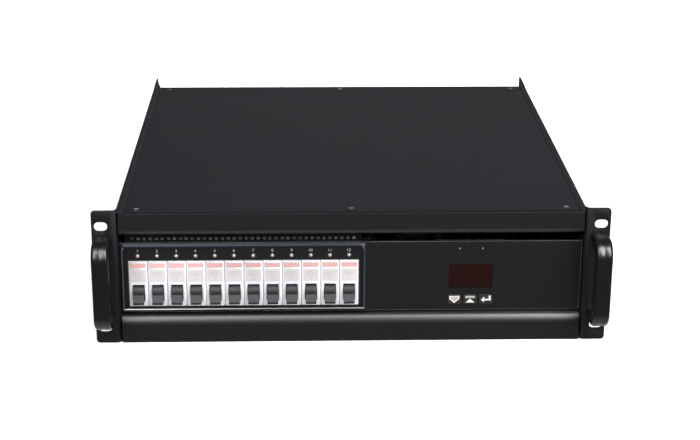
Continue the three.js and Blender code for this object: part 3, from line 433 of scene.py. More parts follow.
def standing(curve, name, front, back):
    """The shell of a flat curve, stood up so that it faces the front and runs from front to back in Y."""
    drawn = bpy.data.objects.new(name, curve)
    mesh = bpy.data.meshes.new_from_object(drawn)
    bpy.data.objects.remove(drawn)
    mesh.transform(Matrix(((1, 0, 0, 0), (0, 0, -1, (front + back) / 2), (0, 1, 0, 0), (0, 0, 0, 1))))
    points = np.empty(len(mesh.vertices) * 3)
    mesh.vertices.foreach_get("co", points)
    faces = [list(polygon.vertices) for polygon in mesh.polygons]
    bpy.data.meshes.remove(mesh)
    return points.reshape(-1, 3), faces


def plate(outlines, front, back):
    """A plate in X and Z from front to back in Y. The first outline is its edge and the others are openings."""
    curve = bpy.data.curves.new("plate", "CURVE")
    curve.dimensions = "2D"
    curve.fill_mode = "BOTH"
    curve.extrude = (back - front) / 2
    for outline in outlines:
        spline = curve.splines.new("POLY")
        spline.points.add(len(outline) - 1)
        spline.points.foreach_set("co", np.column_stack([outline, np.tile((0, 1), (len(outline), 1))]).ravel())
        spline.use_cyclic_u = True
    return standing(curve, "plate", front, back)


def block(low, high):
    """A box between two corners."""
    (x0, y0, z0), (x1, y1, z1) = low, high
    return along_x([(y0, z0), (y1, z0), (y1, z1), (y0, z1)], x0, x1)


def middle_of(node):
    """The middle of a CAD node's box."""
    low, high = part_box(node)
    return (low + high) / 2


breakers = [f"breaker_{i + 1:02d}" for i in range(12)]
levers = [f"breaker_lever_{i + 1:02d}" for i in range(12)]
keys = ["key_down", "key_up", "key_enter"]
panel_low, panel_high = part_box("front_panel")
panel_front = panel_low.y
panel_back = panel_front + 3 * MM
row_low, row_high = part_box("breaker_01")[0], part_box("breaker_12")[1]
nose_foot, nose_height = 6.3 * MM, 45 * MM
nose_low = Vector((row_low.x, row_low.y, panel_low.z + nose_foot))
nose_high = Vector((row_high.x, row_low.y, nose_low.z + nose_height))
lens_low, lens_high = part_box("display_window")
display_x, display_z = (lens_low.x + lens_high.x) / 2, (lens_low.z + lens_high.z) / 2
lamp_radius = 1.5 * MM
lamp_z = nose_high.z + 5.1 * MM
status_z = lens_high.z + 15.4 * MM
breaker_x = [(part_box(name)[0].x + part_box(name)[1].x) / 2 for name in breakers]
status_reach = 10.75 * MM
status_x = [display_x - status_reach, display_x + status_reach]
key_middles = {name: middle_of(name) for name in keys}
key_width, key_height = 12.4 * MM, 9 * MM


def middle_outline(low, high, margin, radius):
    """A rounded rectangle round a box seen from the front."""
    return rounded_outline((low.x + high.x) / 2, (low.z + high.z) / 2, high.x - low.x + 2 * margin,
                           high.z - low.z + 2 * margin, radius)


panel_holes = [middle_outline(nose_low, nose_high, 0.5 * MM, 0.8 * MM),
               middle_outline(lens_low, lens_high, 0.35 * MM, 0.8 * MM)]
panel_holes += [round_outline(x, lamp_z, lamp_radius + 0.3 * MM, 24) for x in breaker_x]
panel_holes += [round_outline(x, status_z, lamp_radius + 0.3 * MM, 24) for x in status_x]
panel_holes += [rounded_outline(middle.x, middle.z, key_width + 0.7 * MM, key_height + 0.7 * MM, 0.9 * MM)
                for middle in key_middles.values()]
flange = 2 * MM
front_plate = joined(
    plate([middle_outline(panel_low, panel_high, 0, 0.4 * MM), *panel_holes], panel_front, panel_back),
    block((panel_low.x, panel_back, panel_low.z), (panel_low.x + flange, panel_high.y, panel_high.z)),
    block((panel_high.x - flange, panel_back, panel_low.z), (panel_high.x, panel_high.y, panel_high.z)))
# Its edges are painted a light warm grey: a painted highlight, chiefly along the plate's top edge under the air slot.
plate_black = finished("plate_black", (0.0012, 0.0013, 0.0015), 0.34, 0.35 * MM, 0.006 * MM, edge=0.4,
                       edge_colour=(0.3, 0.28, 0.26), Specular_IOR_Level=0.5)
piece("front_plate", front_plate, plate_black, "chassis", "satin_black_panel", "front_panel", ease=0.45 * MM)


# Base pan and rear panel
# Two more powder-coated sheets: the pan closes the floor between its upturned sides, and the rear panel carries
# the fans, terminals and sockets between two flanges.
sheet = 2 * MM
rear_low, rear_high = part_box("rear_panel")
fan_middles = [middle_of(name) for name in ("left_fan_frame", "right_fan_frame")]
socket_middles = [middle_of(name) for name in ("signal_input_socket", "signal_output_socket")]
gland_middle = middle_of("supply_gland")
terminal_margin, socket_hole, gland_hole = -4.5 * MM, 12.15 * MM, 16.15 * MM
rear_holes = [middle_outline(*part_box("output_terminal_block"), terminal_margin, 0.6 * MM)]
rear_holes += [round_outline(middle.x, middle.z, socket_hole, 40) for middle in socket_middles]
rear_holes += [round_outline(gland_middle.x, gland_middle.z, gland_hole, 48)]
slot_height, slot_pitch, slot_circle = 5.6 * MM, 9.2 * MM, 38 * MM
for middle in fan_middles:
    for i in range(8):
        rise = slot_pitch * (i - 3.5)
        reach = max(math.sqrt(slot_circle**2 - (abs(rise) + slot_height / 2)**2), slot_height)
        rear_holes.append(rounded_outline(middle.x, middle.z + rise, 2 * reach, slot_height, 2.7 * MM))
rear_plate = joined(
    plate([middle_outline(rear_low, rear_high, 0, 0.4 * MM), *rear_holes], rear_high.y - sheet, rear_high.y),
    *[block((rear_low.x, rear_low.y, z), (rear_high.x, rear_high.y - sheet, z + sheet))
      for z in (rear_low.z, rear_high.z - sheet)])
piece("rear_plate", rear_plate, powder_black, "chassis", "black_powder_coat", "rear_panel", ease=0.4 * MM)

pan_low, pan_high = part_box("base_pan")
screw_marks = [(x, y) for x in (-197, -133, 133, 197) for y in (180, 388)]
screw_marks += [(x, 88) for x in (-190, -100, -12)] + [(x, y) for x in (-53, 7) for y in (110, 400)]
floor_screws = [(x * MM, rack_face + y * MM) for x, y in screw_marks]
pan_outline = rounded_outline(0, (pan_low.y + pan_high.y) / 2, pan_high.x - pan_low.x, pan_high.y - pan_low.y,
                              2 * MM)
lying_points, lying_faces = plate([pan_outline, *[round_outline(x, y, 2.8 * MM, 24) for x, y in floor_screws]],
                                  pan_low.z, pan_low.z + sheet)
upturn_front, upturn_rear = rack_face + 16.3 * MM, rack_face + 418 * MM
upturns = [block((x, upturn_front, pan_low.z + sheet), (x + sheet, upturn_rear, pan_high.z))
           for x in (pan_low.x, pan_high.x - sheet)]
piece("pan_sheet", joined((lying_points[:, [0, 2, 1]], lying_faces), *upturns), powder_black, "chassis",
      "black_powder_coat", "base_pan")


# Overlay film
# A thin black plastic film with a fine satin face, glued over the plain part of the panel beside the breakers. It is
# cut out round the display, the status lamps and the keys, and carries nothing but its own edge.
film = finished("overlay_film", (0.0012, 0.0013, 0.0015), 0.32, 0.5 * MM, 0.004 * MM, mottle=0.04,
                Specular_IOR_Level=0.5)
film_low = Vector((row_high.x + 7.7 * MM, 0, panel_low.z + 1.9 * MM))
film_high = Vector((panel_high.x - 2.4 * MM, 0, panel_high.z - 4 * MM))
film_holes = [middle_outline(lens_low, lens_high, 0.15 * MM, 0.9 * MM)]
film_holes += [round_outline(x, status_z, lamp_radius + 0.15 * MM) for x in status_x]
film_holes += [rounded_outline(middle.x, middle.z, key_width + 0.5 * MM, key_height + 0.5 * MM, 0.8 * MM)
               for middle in key_middles.values()]
film_shell = plate([middle_outline(film_low, film_high, 0, 1 * MM), *film_holes], panel_front - 0.14 * MM,
                   panel_front + 0.02 * MM)
piece("overlay_film", film_shell, film, "chassis", "satin_black_panel")


# Circuit numbers
# Plain numbers from 1 to 12, one over each indicator lamp, screen-printed on the panel in light grey ink that
# stands just proud of the paint.
def printed(words, size, x, z, front, thickness):
    """Words as a flat print in X and Z, centred on a point, with its face at front."""
    curve = bpy.data.curves.new("print", "FONT")
    curve.body = words
    curve.size = size
    curve.align_x, curve.align_y = "CENTER", "CENTER"
    curve.extrude = thickness / 2
    curve.resolution_u = 4
    points, faces = standing(curve, "print", front, front + thickness)
    middle = (points.min(0) + points.max(0)) / 2
    return points + (x - middle[0], 0, z - middle[2]), faces


white_ink = finished("white_ink", (0.13, 0.13, 0.13), 0.6, 0.3 * MM, 0.004 * MM, mottle=0.1)
number_z = nose_high.z + 10.2 * MM
numbers = [printed(str(i + 1), 4.2 * MM, x, number_z, panel_front - 0.05 * MM, 0.07 * MM)
           for i, x in enumerate(breaker_x)]
piece("circuit_numbers", joined(*numbers), white_ink, "chassis", "satin_black_panel")


# Breaker bezel
# A trim frame snapped over the breaker opening. Its dark bar slopes back outward from a ridge, and a thin leaf of
# bright metal lines the bevel inside the ridge at both sides and the foot: a painted highlight where these faces
# catch the light, left off the top bar, which lies in shade. Its upper corners are round and its lower ones square.
def bezel_outline(margin):
    """The frame's inner edge, moved outward by a margin: square below, a quarter circle in each top corner."""
    low, high = inner_low - (margin, margin), inner_high + (margin, margin)
    angles = np.radians(np.linspace(0, 90, 13))
    arc = bezel_radius * np.column_stack([np.cos(angles), np.sin(angles)])
    right_arc = high - bezel_radius + arc
    left_arc = (low[0] + bezel_radius, high[1] - bezel_radius) + arc[::-1] * (-1, 1)
    return np.vstack([low, (high[0], low[1]), right_arc, left_arc])


bezel_low, bezel_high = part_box("breaker_bezel")
bezel_bar, bezel_ridge, bezel_radius = 3.5 * MM, 1.6 * MM, 4.5 * MM
inner_low = np.array([bezel_low.x + bezel_bar, bezel_low.z + bezel_bar])
inner_high = np.array([bezel_high.x - bezel_bar, bezel_high.z - bezel_bar])
slope, bevel = 1.6 * MM, 0.8 * MM
bezel_profile = [(bezel_bar, bezel_high.y), (bezel_bar, bezel_low.y + slope), (bezel_ridge, bezel_low.y),
                 (bezel_ridge - bevel, bezel_low.y + 0.45 * bevel), (0, bezel_low.y + bevel), (0, bezel_high.y)]
bezel_rings = [np.insert(bezel_outline(margin), 1, y, axis=1) for margin, y in bezel_profile]
bezel_trim = finished("bezel_trim", (0.005, 0.0068, 0.0095), 0.3, 0.8 * MM, 0.004 * MM, mottle=0.08,
                      Specular_IOR_Level=0.1)
piece("bezel_frame", tube(bezel_rings, True), bezel_trim, "chassis", "bezel_trim", "breaker_bezel", sharp=15)

# The leaf's bright metal is a painted highlight on the bevel; the top bar has none, as it lies in shade.
lit_bevel_leaf = finished("lit_bevel_leaf", (0.3, 0.295, 0.28), 0.3, 0.5 * MM, 0.004 * MM, mottle=0.15, metallic=1.0)
leaf = 0.1 * MM
bead_profile = [(bezel_ridge, bezel_low.y - leaf), (bezel_ridge - bevel, bezel_low.y - leaf + 0.45 * bevel),
                (bezel_ridge - 1.1 * bevel, bezel_low.y + 0.8 * bevel), (bezel_ridge, bezel_low.y + leaf)]
sides_and_foot = [*range(21, 28), *range(9)]
bead_rings = [np.insert(bezel_outline(margin)[sides_and_foot], 1, y, axis=1) for margin, y in bead_profile]
piece("bezel_bevel", tube(np.stack(bead_rings, 1)), lit_bevel_leaf, "chassis", "bezel_trim", sharp=15)


# Breakers
# Twelve single-pole breakers, each a pair of glossy white moulded halves. The nose stands proud of the panel and
# has a window for the lever, and a red band and a pale grey field are printed on it.
breaker_white = finished("breaker_white", (0.285, 0.285, 0.3), 0.38, 1.2 * MM, 0.006 * MM, mottle=0.05, edge=0.1,
                         edge_colour=(0.4, 0.4, 0.4))
for name in breakers:
    refined(name, "chassis", 0.55 * MM, breaker_white, "breaker_plastic")

band_red = finished("band_red", (0.255, 0.135, 0.128), 0.45, 0.5 * MM, 0.003 * MM, mottle=0.2)
field_grey = finished("field_grey", (0.228, 0.208, 0.208), 0.45, 0.5 * MM, 0.003 * MM, mottle=0.12)
mark_grey = finished("mark_grey", (0.16, 0.145, 0.145), 0.5, 0.5 * MM, 0.003 * MM, mottle=0.15)
nose_face = row_low.y
ink = 0.03 * MM
band_width, band_height, band_z = 14.6 * MM, 4.6 * MM, nose_high.z - 3.9 * MM
field_height, field_z = 12.5 * MM, nose_high.z - 14.2 * MM
bands = [plate([rounded_outline(x, band_z, band_width, band_height, 0.5 * MM)], nose_face - ink, nose_face + ink)
         for x in breaker_x]
fields = [plate([rounded_outline(x, field_z, band_width, field_height, 0.5 * MM)], nose_face - ink, nose_face + ink)
          for x in breaker_x]
marks = []
for x in breaker_x:
    for rise, reach in ((3.6, 4.2), (1.9, 5.4), (0.2, 3.4)):
        marks.append(plate([rounded_outline(x - 0.8 * MM, field_z + rise * MM, 2 * reach * MM, 0.55 * MM, 0.2 * MM)],
                           nose_face - 2 * ink, nose_face + ink))
    marks.append(plate([round_outline(x, field_z - 3.4 * MM, 1.2 * MM),
                        round_outline(x, field_z - 3.4 * MM, 0.85 * MM)], nose_face - 2 * ink, nose_face + ink))
piece("breaker_bands", joined(*bands), band_red, "chassis", "breaker_plastic")
piece("breaker_fields", joined(*fields), field_grey, "chassis", "breaker_plastic")
piece("breaker_marks", joined(*marks), mark_grey, "chassis", "breaker_plastic")


# Breaker levers
# Each lever is one moulding of dark thermoset: a drum that turns in the breaker's nose, and a paddle with three
# grip ribs and a round tip. All twelve point down, which is off.
def lever_outline(radius, reach, root, tip, angle):
    """The outline in Y and Z about the pivot. The drum is a circle that the paddle interrupts. The paddle's
    flanks run straight from the drum to a round tip, and the flank on top carries three low ribs, each half a
    sine wave high."""
    open_half = math.asin(root / radius)
    drum = np.linspace(open_half, 2 * math.pi - open_half, 41)
    drum = radius * np.column_stack([np.cos(drum), np.sin(drum)])
    start, end = radius * math.cos(open_half), reach - tip
    under = np.column_stack([np.linspace(start, end, 6)[1:], np.linspace(-root, -tip, 6)[1:]])
    curl = np.radians(np.linspace(-75, 75, 11))
    nose = np.column_stack([end + tip * np.cos(curl), tip * np.sin(curl)])
    share = np.linspace(1, 0, 26)[:-1]
    ribs = 0.3 * MM * np.abs(np.sin(3 * math.pi * np.clip((share - 0.25) / 0.7, 0, 1)))
    over = np.column_stack([start + (end - start) * share, root + (tip - root) * share + ribs])
    outline = np.vstack([drum, under, nose, over])
    turn_matrix = np.array([[math.cos(angle), -math.sin(angle)], [math.sin(angle), math.cos(angle)]])
    return outline @ turn_matrix.T


lever_dark = finished("lever_dark", (0.0055, 0.005, 0.005), 0.5, 0.6 * MM, 0.008 * MM, mottle=0.12, edge=0.03,
                      Specular_IOR_Level=0.24)
lever_outline_points = lever_outline(7.5 * MM, 15 * MM, 3.4 * MM, 2.0 * MM, math.radians(215))
pivot = np.array([nose_face + 4.5 * MM, (nose_low.z + nose_high.z) / 2 - 9.25 * MM])
for name in levers:
    low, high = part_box(name)
    piece(name + "_paddle", along_x(lever_outline_points + pivot, low.x, high.x), lever_dark, name,
          "lever_plastic", name, sharp=40, ease=0.45 * MM)


# Indicator lamps and their board
# Twelve 3 mm lamps with milky, slightly pink domes, soldered in one row to a long, narrow circuit board. Two posts
# hold the board behind the panel, so that the domes come through its holes.
def revolved(profile, place, outward=(0, -1, 0), steps=24, closed=False):
    """A profile of radii and heights turned about the outward axis through a place."""
    profile = np.asarray(profile, float)
    around = np.linspace(0, 2 * math.pi, steps, endpoint=False)
    rings = np.stack([profile[:, :1] * np.cos(around), profile[:, :1] * np.sin(around),
                      np.tile(profile[:, 1:], steps)], -1)
    return tube(rings @ towards(outward) + np.asarray(place), closed)


def dome_profile(radius, length, top):
    """Radii and heights of a straight body with a hemisphere on it that reaches the top."""
    rise = np.radians(np.linspace(0, 90, 9))
    dome = np.column_stack([radius * np.cos(rise), top - radius + radius * np.sin(rise)])
    dome[-1, 0] = 0.01 * MM
    return np.vstack([(radius, top - length), dome])


board_low, board_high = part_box("indicator_board")
board_green = finished("board_green", (0.004, 0.024, 0.011), 0.4, 2.5 * MM, 0.03 * MM, mottle=0.25, edge=0.05,
                       edge_colour=(0.2, 0.18, 0.1), stretch=(1, 0.25, 1))
lamp_front, board_thickness = board_low.y, 1.6 * MM
row_board = joined(block((board_low.x, board_high.y - board_thickness, lamp_z - 1.5 * MM), board_high),
                   *[block((x - 2 * MM, panel_back + 0.3 * MM, board_high.z - 4 * MM),
                           (x + 2 * MM, board_high.y - 1.5 * MM, board_high.z))
                     for x in (breaker_x[0] + 9 * MM, breaker_x[-1] - 9 * MM)])
piece("row_lamp_board", row_board, board_green, "chassis", "circuit_board", "indicator_board", ease=0.15 * MM)
lamp_milky = finished("lamp_milky", (0.2, 0.15, 0.135), 0.3, 1.5 * MM, 0.002 * MM, mottle=0.05)
lamp_length = board_high.y - 1.5 * MM - lamp_front
row_lamps = [revolved(dome_profile(lamp_radius, lamp_length, 0), (x, lamp_front, lamp_z)) for x in breaker_x]
piece("row_lamps", joined(*row_lamps), lamp_milky, "chassis", "circuit_board", sharp=60)


# Air grille
# A strip of black steel sheet behind the air slot, punched with one row of round holes. The fans at the back draw
# the air in there.
grille_low, grille_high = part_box("air_grille")
grille_middle, hole_spacing = (grille_low.x + grille_high.x) / 2, 5.6 * MM
hole_z = panel_high.z + 2.7 * MM
grille_holes = [round_outline(grille_middle + hole_spacing * (i - 18.5), hole_z, 1.9 * MM, 20) for i in range(38)]
# The hole rims are painted a little lighter: a painted highlight on the lips of the holes.
grille_black = finished("grille_black", (0.0006, 0.0006, 0.0008), 0.38, 0.5 * MM, 0.01 * MM, edge=0.06,
                        edge_colour=(0.12, 0.12, 0.13), Specular_IOR_Level=0.15)
piece("grille_strip", plate([middle_outline(grille_low, grille_high, 0, 0.5 * MM), *grille_holes], grille_low.y,
                            grille_high.y), grille_black, "chassis", "grille_strip", "air_grille", ease=0.35 * MM)


# Display
# A dark red plastic filter set into the panel. Right behind it on the display board sits a grey module of three
# digits, with seven bars each that look pale while they are unlit.
lens_red = finished("lens_red", (0.009, 0.0012, 0.0006), 0.15, 6 * MM, 0.002 * MM, mottle=0.15,
                    Transmission_Weight=0.5, IOR=1.49)
piece("display_lens", plate([middle_outline(lens_low, lens_high, 0, 0.7 * MM)], lens_low.y, lens_high.y), lens_red,
      "chassis", "tinted_window", "display_window", ease=0.3 * MM)


def digit_bars(x, z, height, width, bar, lean):
    """The seven bars of a digit, each a pointed bar in X and Z that leans to the right by a share of its
    height."""
    half, quarter = width / 2, height / 2
    bars = []
    for middle_x, middle_z, flat in ((0, quarter, 1), (0, 0, 1), (0, -quarter, 1), (-half, quarter / 2, 0),
                                     (half, quarter / 2, 0), (-half, -quarter / 2, 0), (half, -quarter / 2, 0)):
        long = (width if flat else height / 2) / 2 - 0.25 * MM
        points = np.array([(-long, 0), (bar / 2 - long, -bar / 2), (long - bar / 2, -bar / 2), (long, 0),
                           (long - bar / 2, bar / 2), (bar / 2 - long, bar / 2)])
        points = (points if flat else points[:, ::-1] * (-1, 1)) + (middle_x, middle_z)
        bars.append(points + np.column_stack([lean * points[:, 1], np.zeros(6)]) + (x, z))
    return bars


display_low, display_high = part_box("display_board")
module_front, module_back = panel_back + 0.3 * MM, display_high.y - board_thickness
module_grey = finished("module_grey", (0.035, 0.03, 0.03), 0.5, 0.6 * MM, 0.01 * MM)
module_outline = rounded_outline(display_x, display_z, 38 * MM, 20 * MM, 0.6 * MM)
piece("digit_module", plate([module_outline], module_front, module_back), module_grey, "chassis", "circuit_board",
      ease=0.3 * MM)
bar_pale = finished("bar_pale", (0.3, 0.2, 0.19), 0.4, 0.6 * MM, 0.004 * MM)
digit_spacing, digit_height, digit_width, bar_width, digit_lean = 11.8 * MM, 14 * MM, 7.2 * MM, 1.7 * MM, 0.12
digit_shells = [plate([bar], module_front - 0.05 * MM, module_front + 0.05 * MM) for i in range(3)
                for bar in digit_bars(display_x + (i - 1) * digit_spacing, display_z, digit_height, digit_width,
                                      bar_width, digit_lean)]
piece("digit_bars", joined(*digit_shells), bar_pale, "chassis", "tinted_window")


# Display board
# The circuit board behind the panel, on four posts. It carries the digit module, two status lamps and the three
# small square switches under the keys.
board_face = display_high.y - board_thickness
board_outline = rounded_outline((display_low.x + display_high.x) / 2, (display_low.z + display_high.z) / 2,
                                display_high.x - display_low.x, display_high.z - display_low.z, 1 * MM)
piece("display_board_sheet", plate([board_outline], board_face, display_high.y), board_green, "chassis",
      "circuit_board", "display_board", ease=0.15 * MM)
posts, post_inset = [], 4 * MM
for x in (display_low.x + post_inset, display_high.x - post_inset):
    for z in (display_low.z + post_inset, display_high.z - post_inset):
        posts.append(revolved([(2.5 * MM, board_face), (2.5 * MM, module_front)], (x, 0, z), (0, 1, 0), 6))
bright_zinc = finished("bright_zinc", (0.55, 0.56, 0.58), 0.34, 1.5 * MM, 0.01 * MM, mottle=0.12, edge=0.3,
                       edge_colour=(0.8, 0.8, 0.82), metallic=0.9)
piece("display_posts", joined(*posts), bright_zinc, "chassis", "circuit_board", ease=0.2 * MM)
lamp_clear = finished("lamp_clear", (0.016, 0.016, 0.017), 0.2, 1.5 * MM, 0.002 * MM)
status_lamps = [revolved(dome_profile(lamp_radius, board_face - lamp_front, 0), (x, lamp_front, status_z))
                for x in status_x]
piece("status_lamps", joined(*status_lamps), lamp_clear, "chassis", "circuit_board", sharp=60)
switch_front, switch_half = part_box("key_down")[1].y + 1 * MM, 3 * MM
switches = [block((middle.x - switch_half, switch_front, middle.z - switch_half),
                  (middle.x + switch_half, board_face, middle.z + switch_half)) for middle in key_middles.values()]
piece("key_switches", joined(*switches), module_grey, "chassis", "circuit_board", ease=0.4 * MM)


# Keys
# Three moulded caps with round edges, each held from behind by its own flange. Each carries a printed sign: a broad
# arrow down, an arrow up under a bar, and a return arrow.
key_black = finished("key_black", (0.003, 0.003, 0.0032), 0.45, 0.4 * MM, 0.01 * MM, edge=0.1)
key_signs = finished("key_signs", (0.27, 0.255, 0.24), 0.5, 0.4 * MM, 0.003 * MM, mottle=0.12)
key_fill = finished("key_fill", (0.15, 0.13, 0.115), 0.5, 0.4 * MM, 0.003 * MM, mottle=0.15)
for name, middle in key_middles.items():
    low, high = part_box(name)
    cap = plate([rounded_outline(middle.x, middle.z, key_width, key_height, 0.8 * MM)], low.y, high.y - 0.5 * MM)
    skirt = plate([rounded_outline(middle.x, middle.z, high.x - low.x, high.z - low.z, 0.8 * MM)],
                  high.y - 1 * MM, high.y)
    piece(name + "_cap", joined(cap, skirt), key_black, name, "key_caps", name, ease=0.35 * MM)


def sign(name, body, material, outlines, layer):
    """A printed sign on a key's face, drawn in millimetres from the key's middle, one layer of ink thick."""
    middle, face = key_middles[body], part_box(body)[0].y
    shapes = [np.asarray(outline, float) * MM + (middle.x, middle.z) for outline in outlines]
    piece(name, plate(shapes, face - layer * ink, face + ink), material, body, "key_caps")


pentagon = np.array([(-4.8, 3.4), (4.8, 3.4), (4.8, 0.2), (0, -3.8), (-4.8, 0.2)])
sign("key_down_rim", "key_down", key_signs, [pentagon, pentagon * 0.74 + (0, 0.15)], 2)
sign("key_down_fill", "key_down", key_fill, [pentagon * 0.74 + (0, 0.15)], 1)
sign("key_up_bar", "key_up", key_fill, [[(-4.6, 1.1), (4.6, 1.1), (4.6, 3.4), (-4.6, 3.4)]], 2)
sign("key_up_arrow", "key_up", key_signs, [[(-4.2, -3.4), (4.2, -3.4), (0, 0.5)]], 2)
sign("key_enter_arrow", "key_enter", key_signs,
     [[(-4.8, -0.6), (-1.6, -3.3), (-1.6, -1.4), (4.8, -1.4), (4.8, 3.4), (2.6, 3.4), (2.6, 0.3), (-1.6, 0.3),
       (-1.6, 2.1)]], 2)


# Front handles
# Cast bows in semi-gloss black, one on each ear. A sharp groove runs along the outside and parts it into two
# rounded lobes, and each foot is held by a countersunk screw from behind the ear.
def bow_section(width, thickness, groove, shoulder, corner):
    """The bow's section: distance across it, and outward from its middle line. Each of the two lobes falls from
    its crest by the groove's depth towards the middle, as the 2.2 power of the share of its half width, and by
    the shoulder's depth towards the side, as the third power. The inside is flat, with round corners."""
    quarter = width / 4
    share = np.linspace(1, -1, 21)
    fall = np.where(share > 0, shoulder * np.abs(share)**3, groove * np.abs(share)**2.2)
    lobe = np.column_stack([quarter + quarter * share, thickness / 2 - fall])
    outside = np.vstack([lobe, lobe[-2::-1] * (-1, 1)])
    angles = np.radians(np.linspace(180, 270, 7))
    arc = corner * np.column_stack([np.cos(angles), np.sin(angles)])
    left_arc = (corner - width / 2, corner - thickness / 2) + arc
    return np.vstack([outside, left_arc, left_arc[::-1] * (-1, 1)])


def bow_line(foot, front, half_height, radius, steps=13):
    """Points of the bow's middle line in Y and Z and its outward directions: out from the upper foot, round a
    quarter circle, down, round another and back."""
    angles = np.radians(np.linspace(90, 180, steps))
    outward = np.column_stack([np.cos(angles), np.sin(angles)])
    bend = (front + radius, half_height - radius) + radius * outward
    upper = np.vstack([(foot, half_height), bend])
    upper_outward = np.vstack([(0, 1), outward])
    return np.vstack([upper, upper[::-1] * (1, -1)]), np.vstack([upper_outward, upper_outward[::-1] * (1, -1)])


cast_black = finished("cast_black", (0.001, 0.0011, 0.0014), 0.3, 0.5 * MM, 0.008 * MM,
                      Specular_IOR_Level=0.4)
bow_thickness, bow_bend, leg_rise = 9 * MM, 12 * MM, 39 * MM
groove_depth, shoulder_depth, inner_round = 0.35 * MM, 2.4 * MM, 2.4 * MM
for side in ("left", "right"):
    low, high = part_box(side + "_handle")
    middle = (low + high) / 2
    section = bow_section(high.x - low.x, bow_thickness, groove_depth, shoulder_depth, inner_round)
    line, outward = bow_line(high.y, low.y + bow_thickness / 2, (high.z - low.z - bow_thickness) / 2, bow_bend)
    path = line[:, None] + section[None, :, 1:] * outward[:, None]
    rings = np.concatenate([np.tile(section[:, :1] + middle.x, (len(line), 1, 1)), path + (0, middle.z)], -1)
    piece(side + "_bow", tube(rings), cast_black, "chassis", "cast_black_handle", side + "_handle", sharp=50)
    feet = [screw_head((middle.x, rack_face + 2 * MM, middle.z + leg * leg_rise), (0, 1, 0), 4.2 * MM, 0.25 * MM, leg)
            for leg in (-1, 1)]
    piece(side + "_bow_screws", joined(*feet), black_zinc, "chassis", "cast_black_handle")


# Case screws
# Small countersunk screws hold the rails, the panel's flanges, the pan and the rear panel to the side panels, and
# the heatsinks, chokes, bracket and boards to the floor of the pan.
case_screws = []
body_half = cover_high.x + 8.3 * MM
rear_face = cover_high.y
for side in (-1, 1):
    places = [(8, 15), (8, 117), (22, 40), (22, 86), (120, 8), (270, 8), (410, 8), (429, 30), (429, 66), (429, 100)]
    case_screws += [screw_head((side * body_half, rack_face + y * MM, z * MM), (side, 0, 0), 2.6 * MM, 0.2 * MM,
                               turns[20 + i + 15 * (side > 0)]) for i, (y, z) in enumerate(places)]
case_screws += [screw_head((x, y, 0.4 * MM), (0, 0, -1), 2.7 * MM, 0.35 * MM, turns[60 + i])
                for i, (x, y) in enumerate(floor_screws)]
piece("case_screws", joined(*case_screws), black_zinc, "chassis", "black_powder_coat")


# Fans
# Two 80 mm fans behind slots in the rear panel. Each frame is one glass-filled moulding: a square with a round
# bore, screw holes in its corners, and four tapered struts that carry the motor.
fan_black = finished("fan_black", (0.022, 0.0222, 0.0235), 0.48, 0.9 * MM, 0.015 * MM, mottle=0.1, edge=0.08)
motor_steel = finished("motor_label", (0.3, 0.3, 0.31), 0.4, 1.2 * MM, 0.006 * MM, mottle=0.1, metallic=0.5)
bore_radius, hub_radius, corner_hole = 38 * MM, 15.5 * MM, 35.75 * MM
strut_root, strut_tip, root_half, tip_half = 13 * MM, 38.6 * MM, 3.2 * MM, 1.8 * MM
motor_profile = [(16 * MM, 0), (16 * MM, -4.5 * MM), (14.5 * MM, -6 * MM), (1 * MM, -6 * MM)]
label_profile = [(13 * MM, 0.1 * MM), (13.4 * MM, -0.1 * MM)]
fan_screws = []
for side in ("left", "right"):
    low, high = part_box(side + "_fan_frame")
    middle = (low + high) / 2
    holes = [round_outline(middle.x + a * corner_hole, middle.z + b * corner_hole, 2.1 * MM, 20)
             for a in (-1, 1) for b in (-1, 1)]
    rim = [middle_outline(low, high, 0, 5 * MM), round_outline(middle.x, middle.z, bore_radius, 72), *holes]
    waist_corners = [rounded_outline(middle.x, middle.z, 80 * MM, 80 * MM, 16 * MM),
                     round_outline(middle.x, middle.z, bore_radius, 72)]
    motor = revolved(motor_profile, (middle.x, low.y, middle.z), (0, -1, 0), 48)
    struts = []
    for quarter in range(4):
        angle = math.radians(45 + 90 * quarter)
        across = np.array([-math.sin(angle), math.cos(angle)])
        outline = [np.array([math.cos(angle), math.sin(angle)]) * reach + across * half
                   for reach, half in ((strut_root, -root_half), (strut_tip, -tip_half), (strut_tip, tip_half),
                                       (strut_root, root_half))]
        struts.append(plate([np.array(outline) + (middle.x, middle.z)], low.y, low.y + 3 * MM))
    frame_shell = joined(plate(rim, low.y, low.y + 4 * MM), plate(waist_corners, low.y + 4 * MM, high.y - 4 * MM),
                         plate(rim, high.y - 4 * MM, high.y), motor, *struts)
    piece(side + "_fan_housing", frame_shell, fan_black, "chassis", "fan_plastic", side + "_fan_frame",
          ease=0.35 * MM)
    label = revolved(label_profile, (middle.x, low.y, middle.z), (0, -1, 0), 48)
    piece(side + "_motor_label", label, motor_steel, "chassis", "fan_plastic")
    fan_screws += [screw_head((middle.x + a * corner_hole, rear_face, middle.z + b * corner_hole), (0, 1, 0),
                              3.4 * MM, 1.3 * MM, turns[80 + 2 * (a > 0) + (b > 0)])
                   for a in (-1, 1) for b in (-1, 1)]
piece("fan_screws", joined(*fan_screws), black_zinc, "chassis", "black_powder_coat")


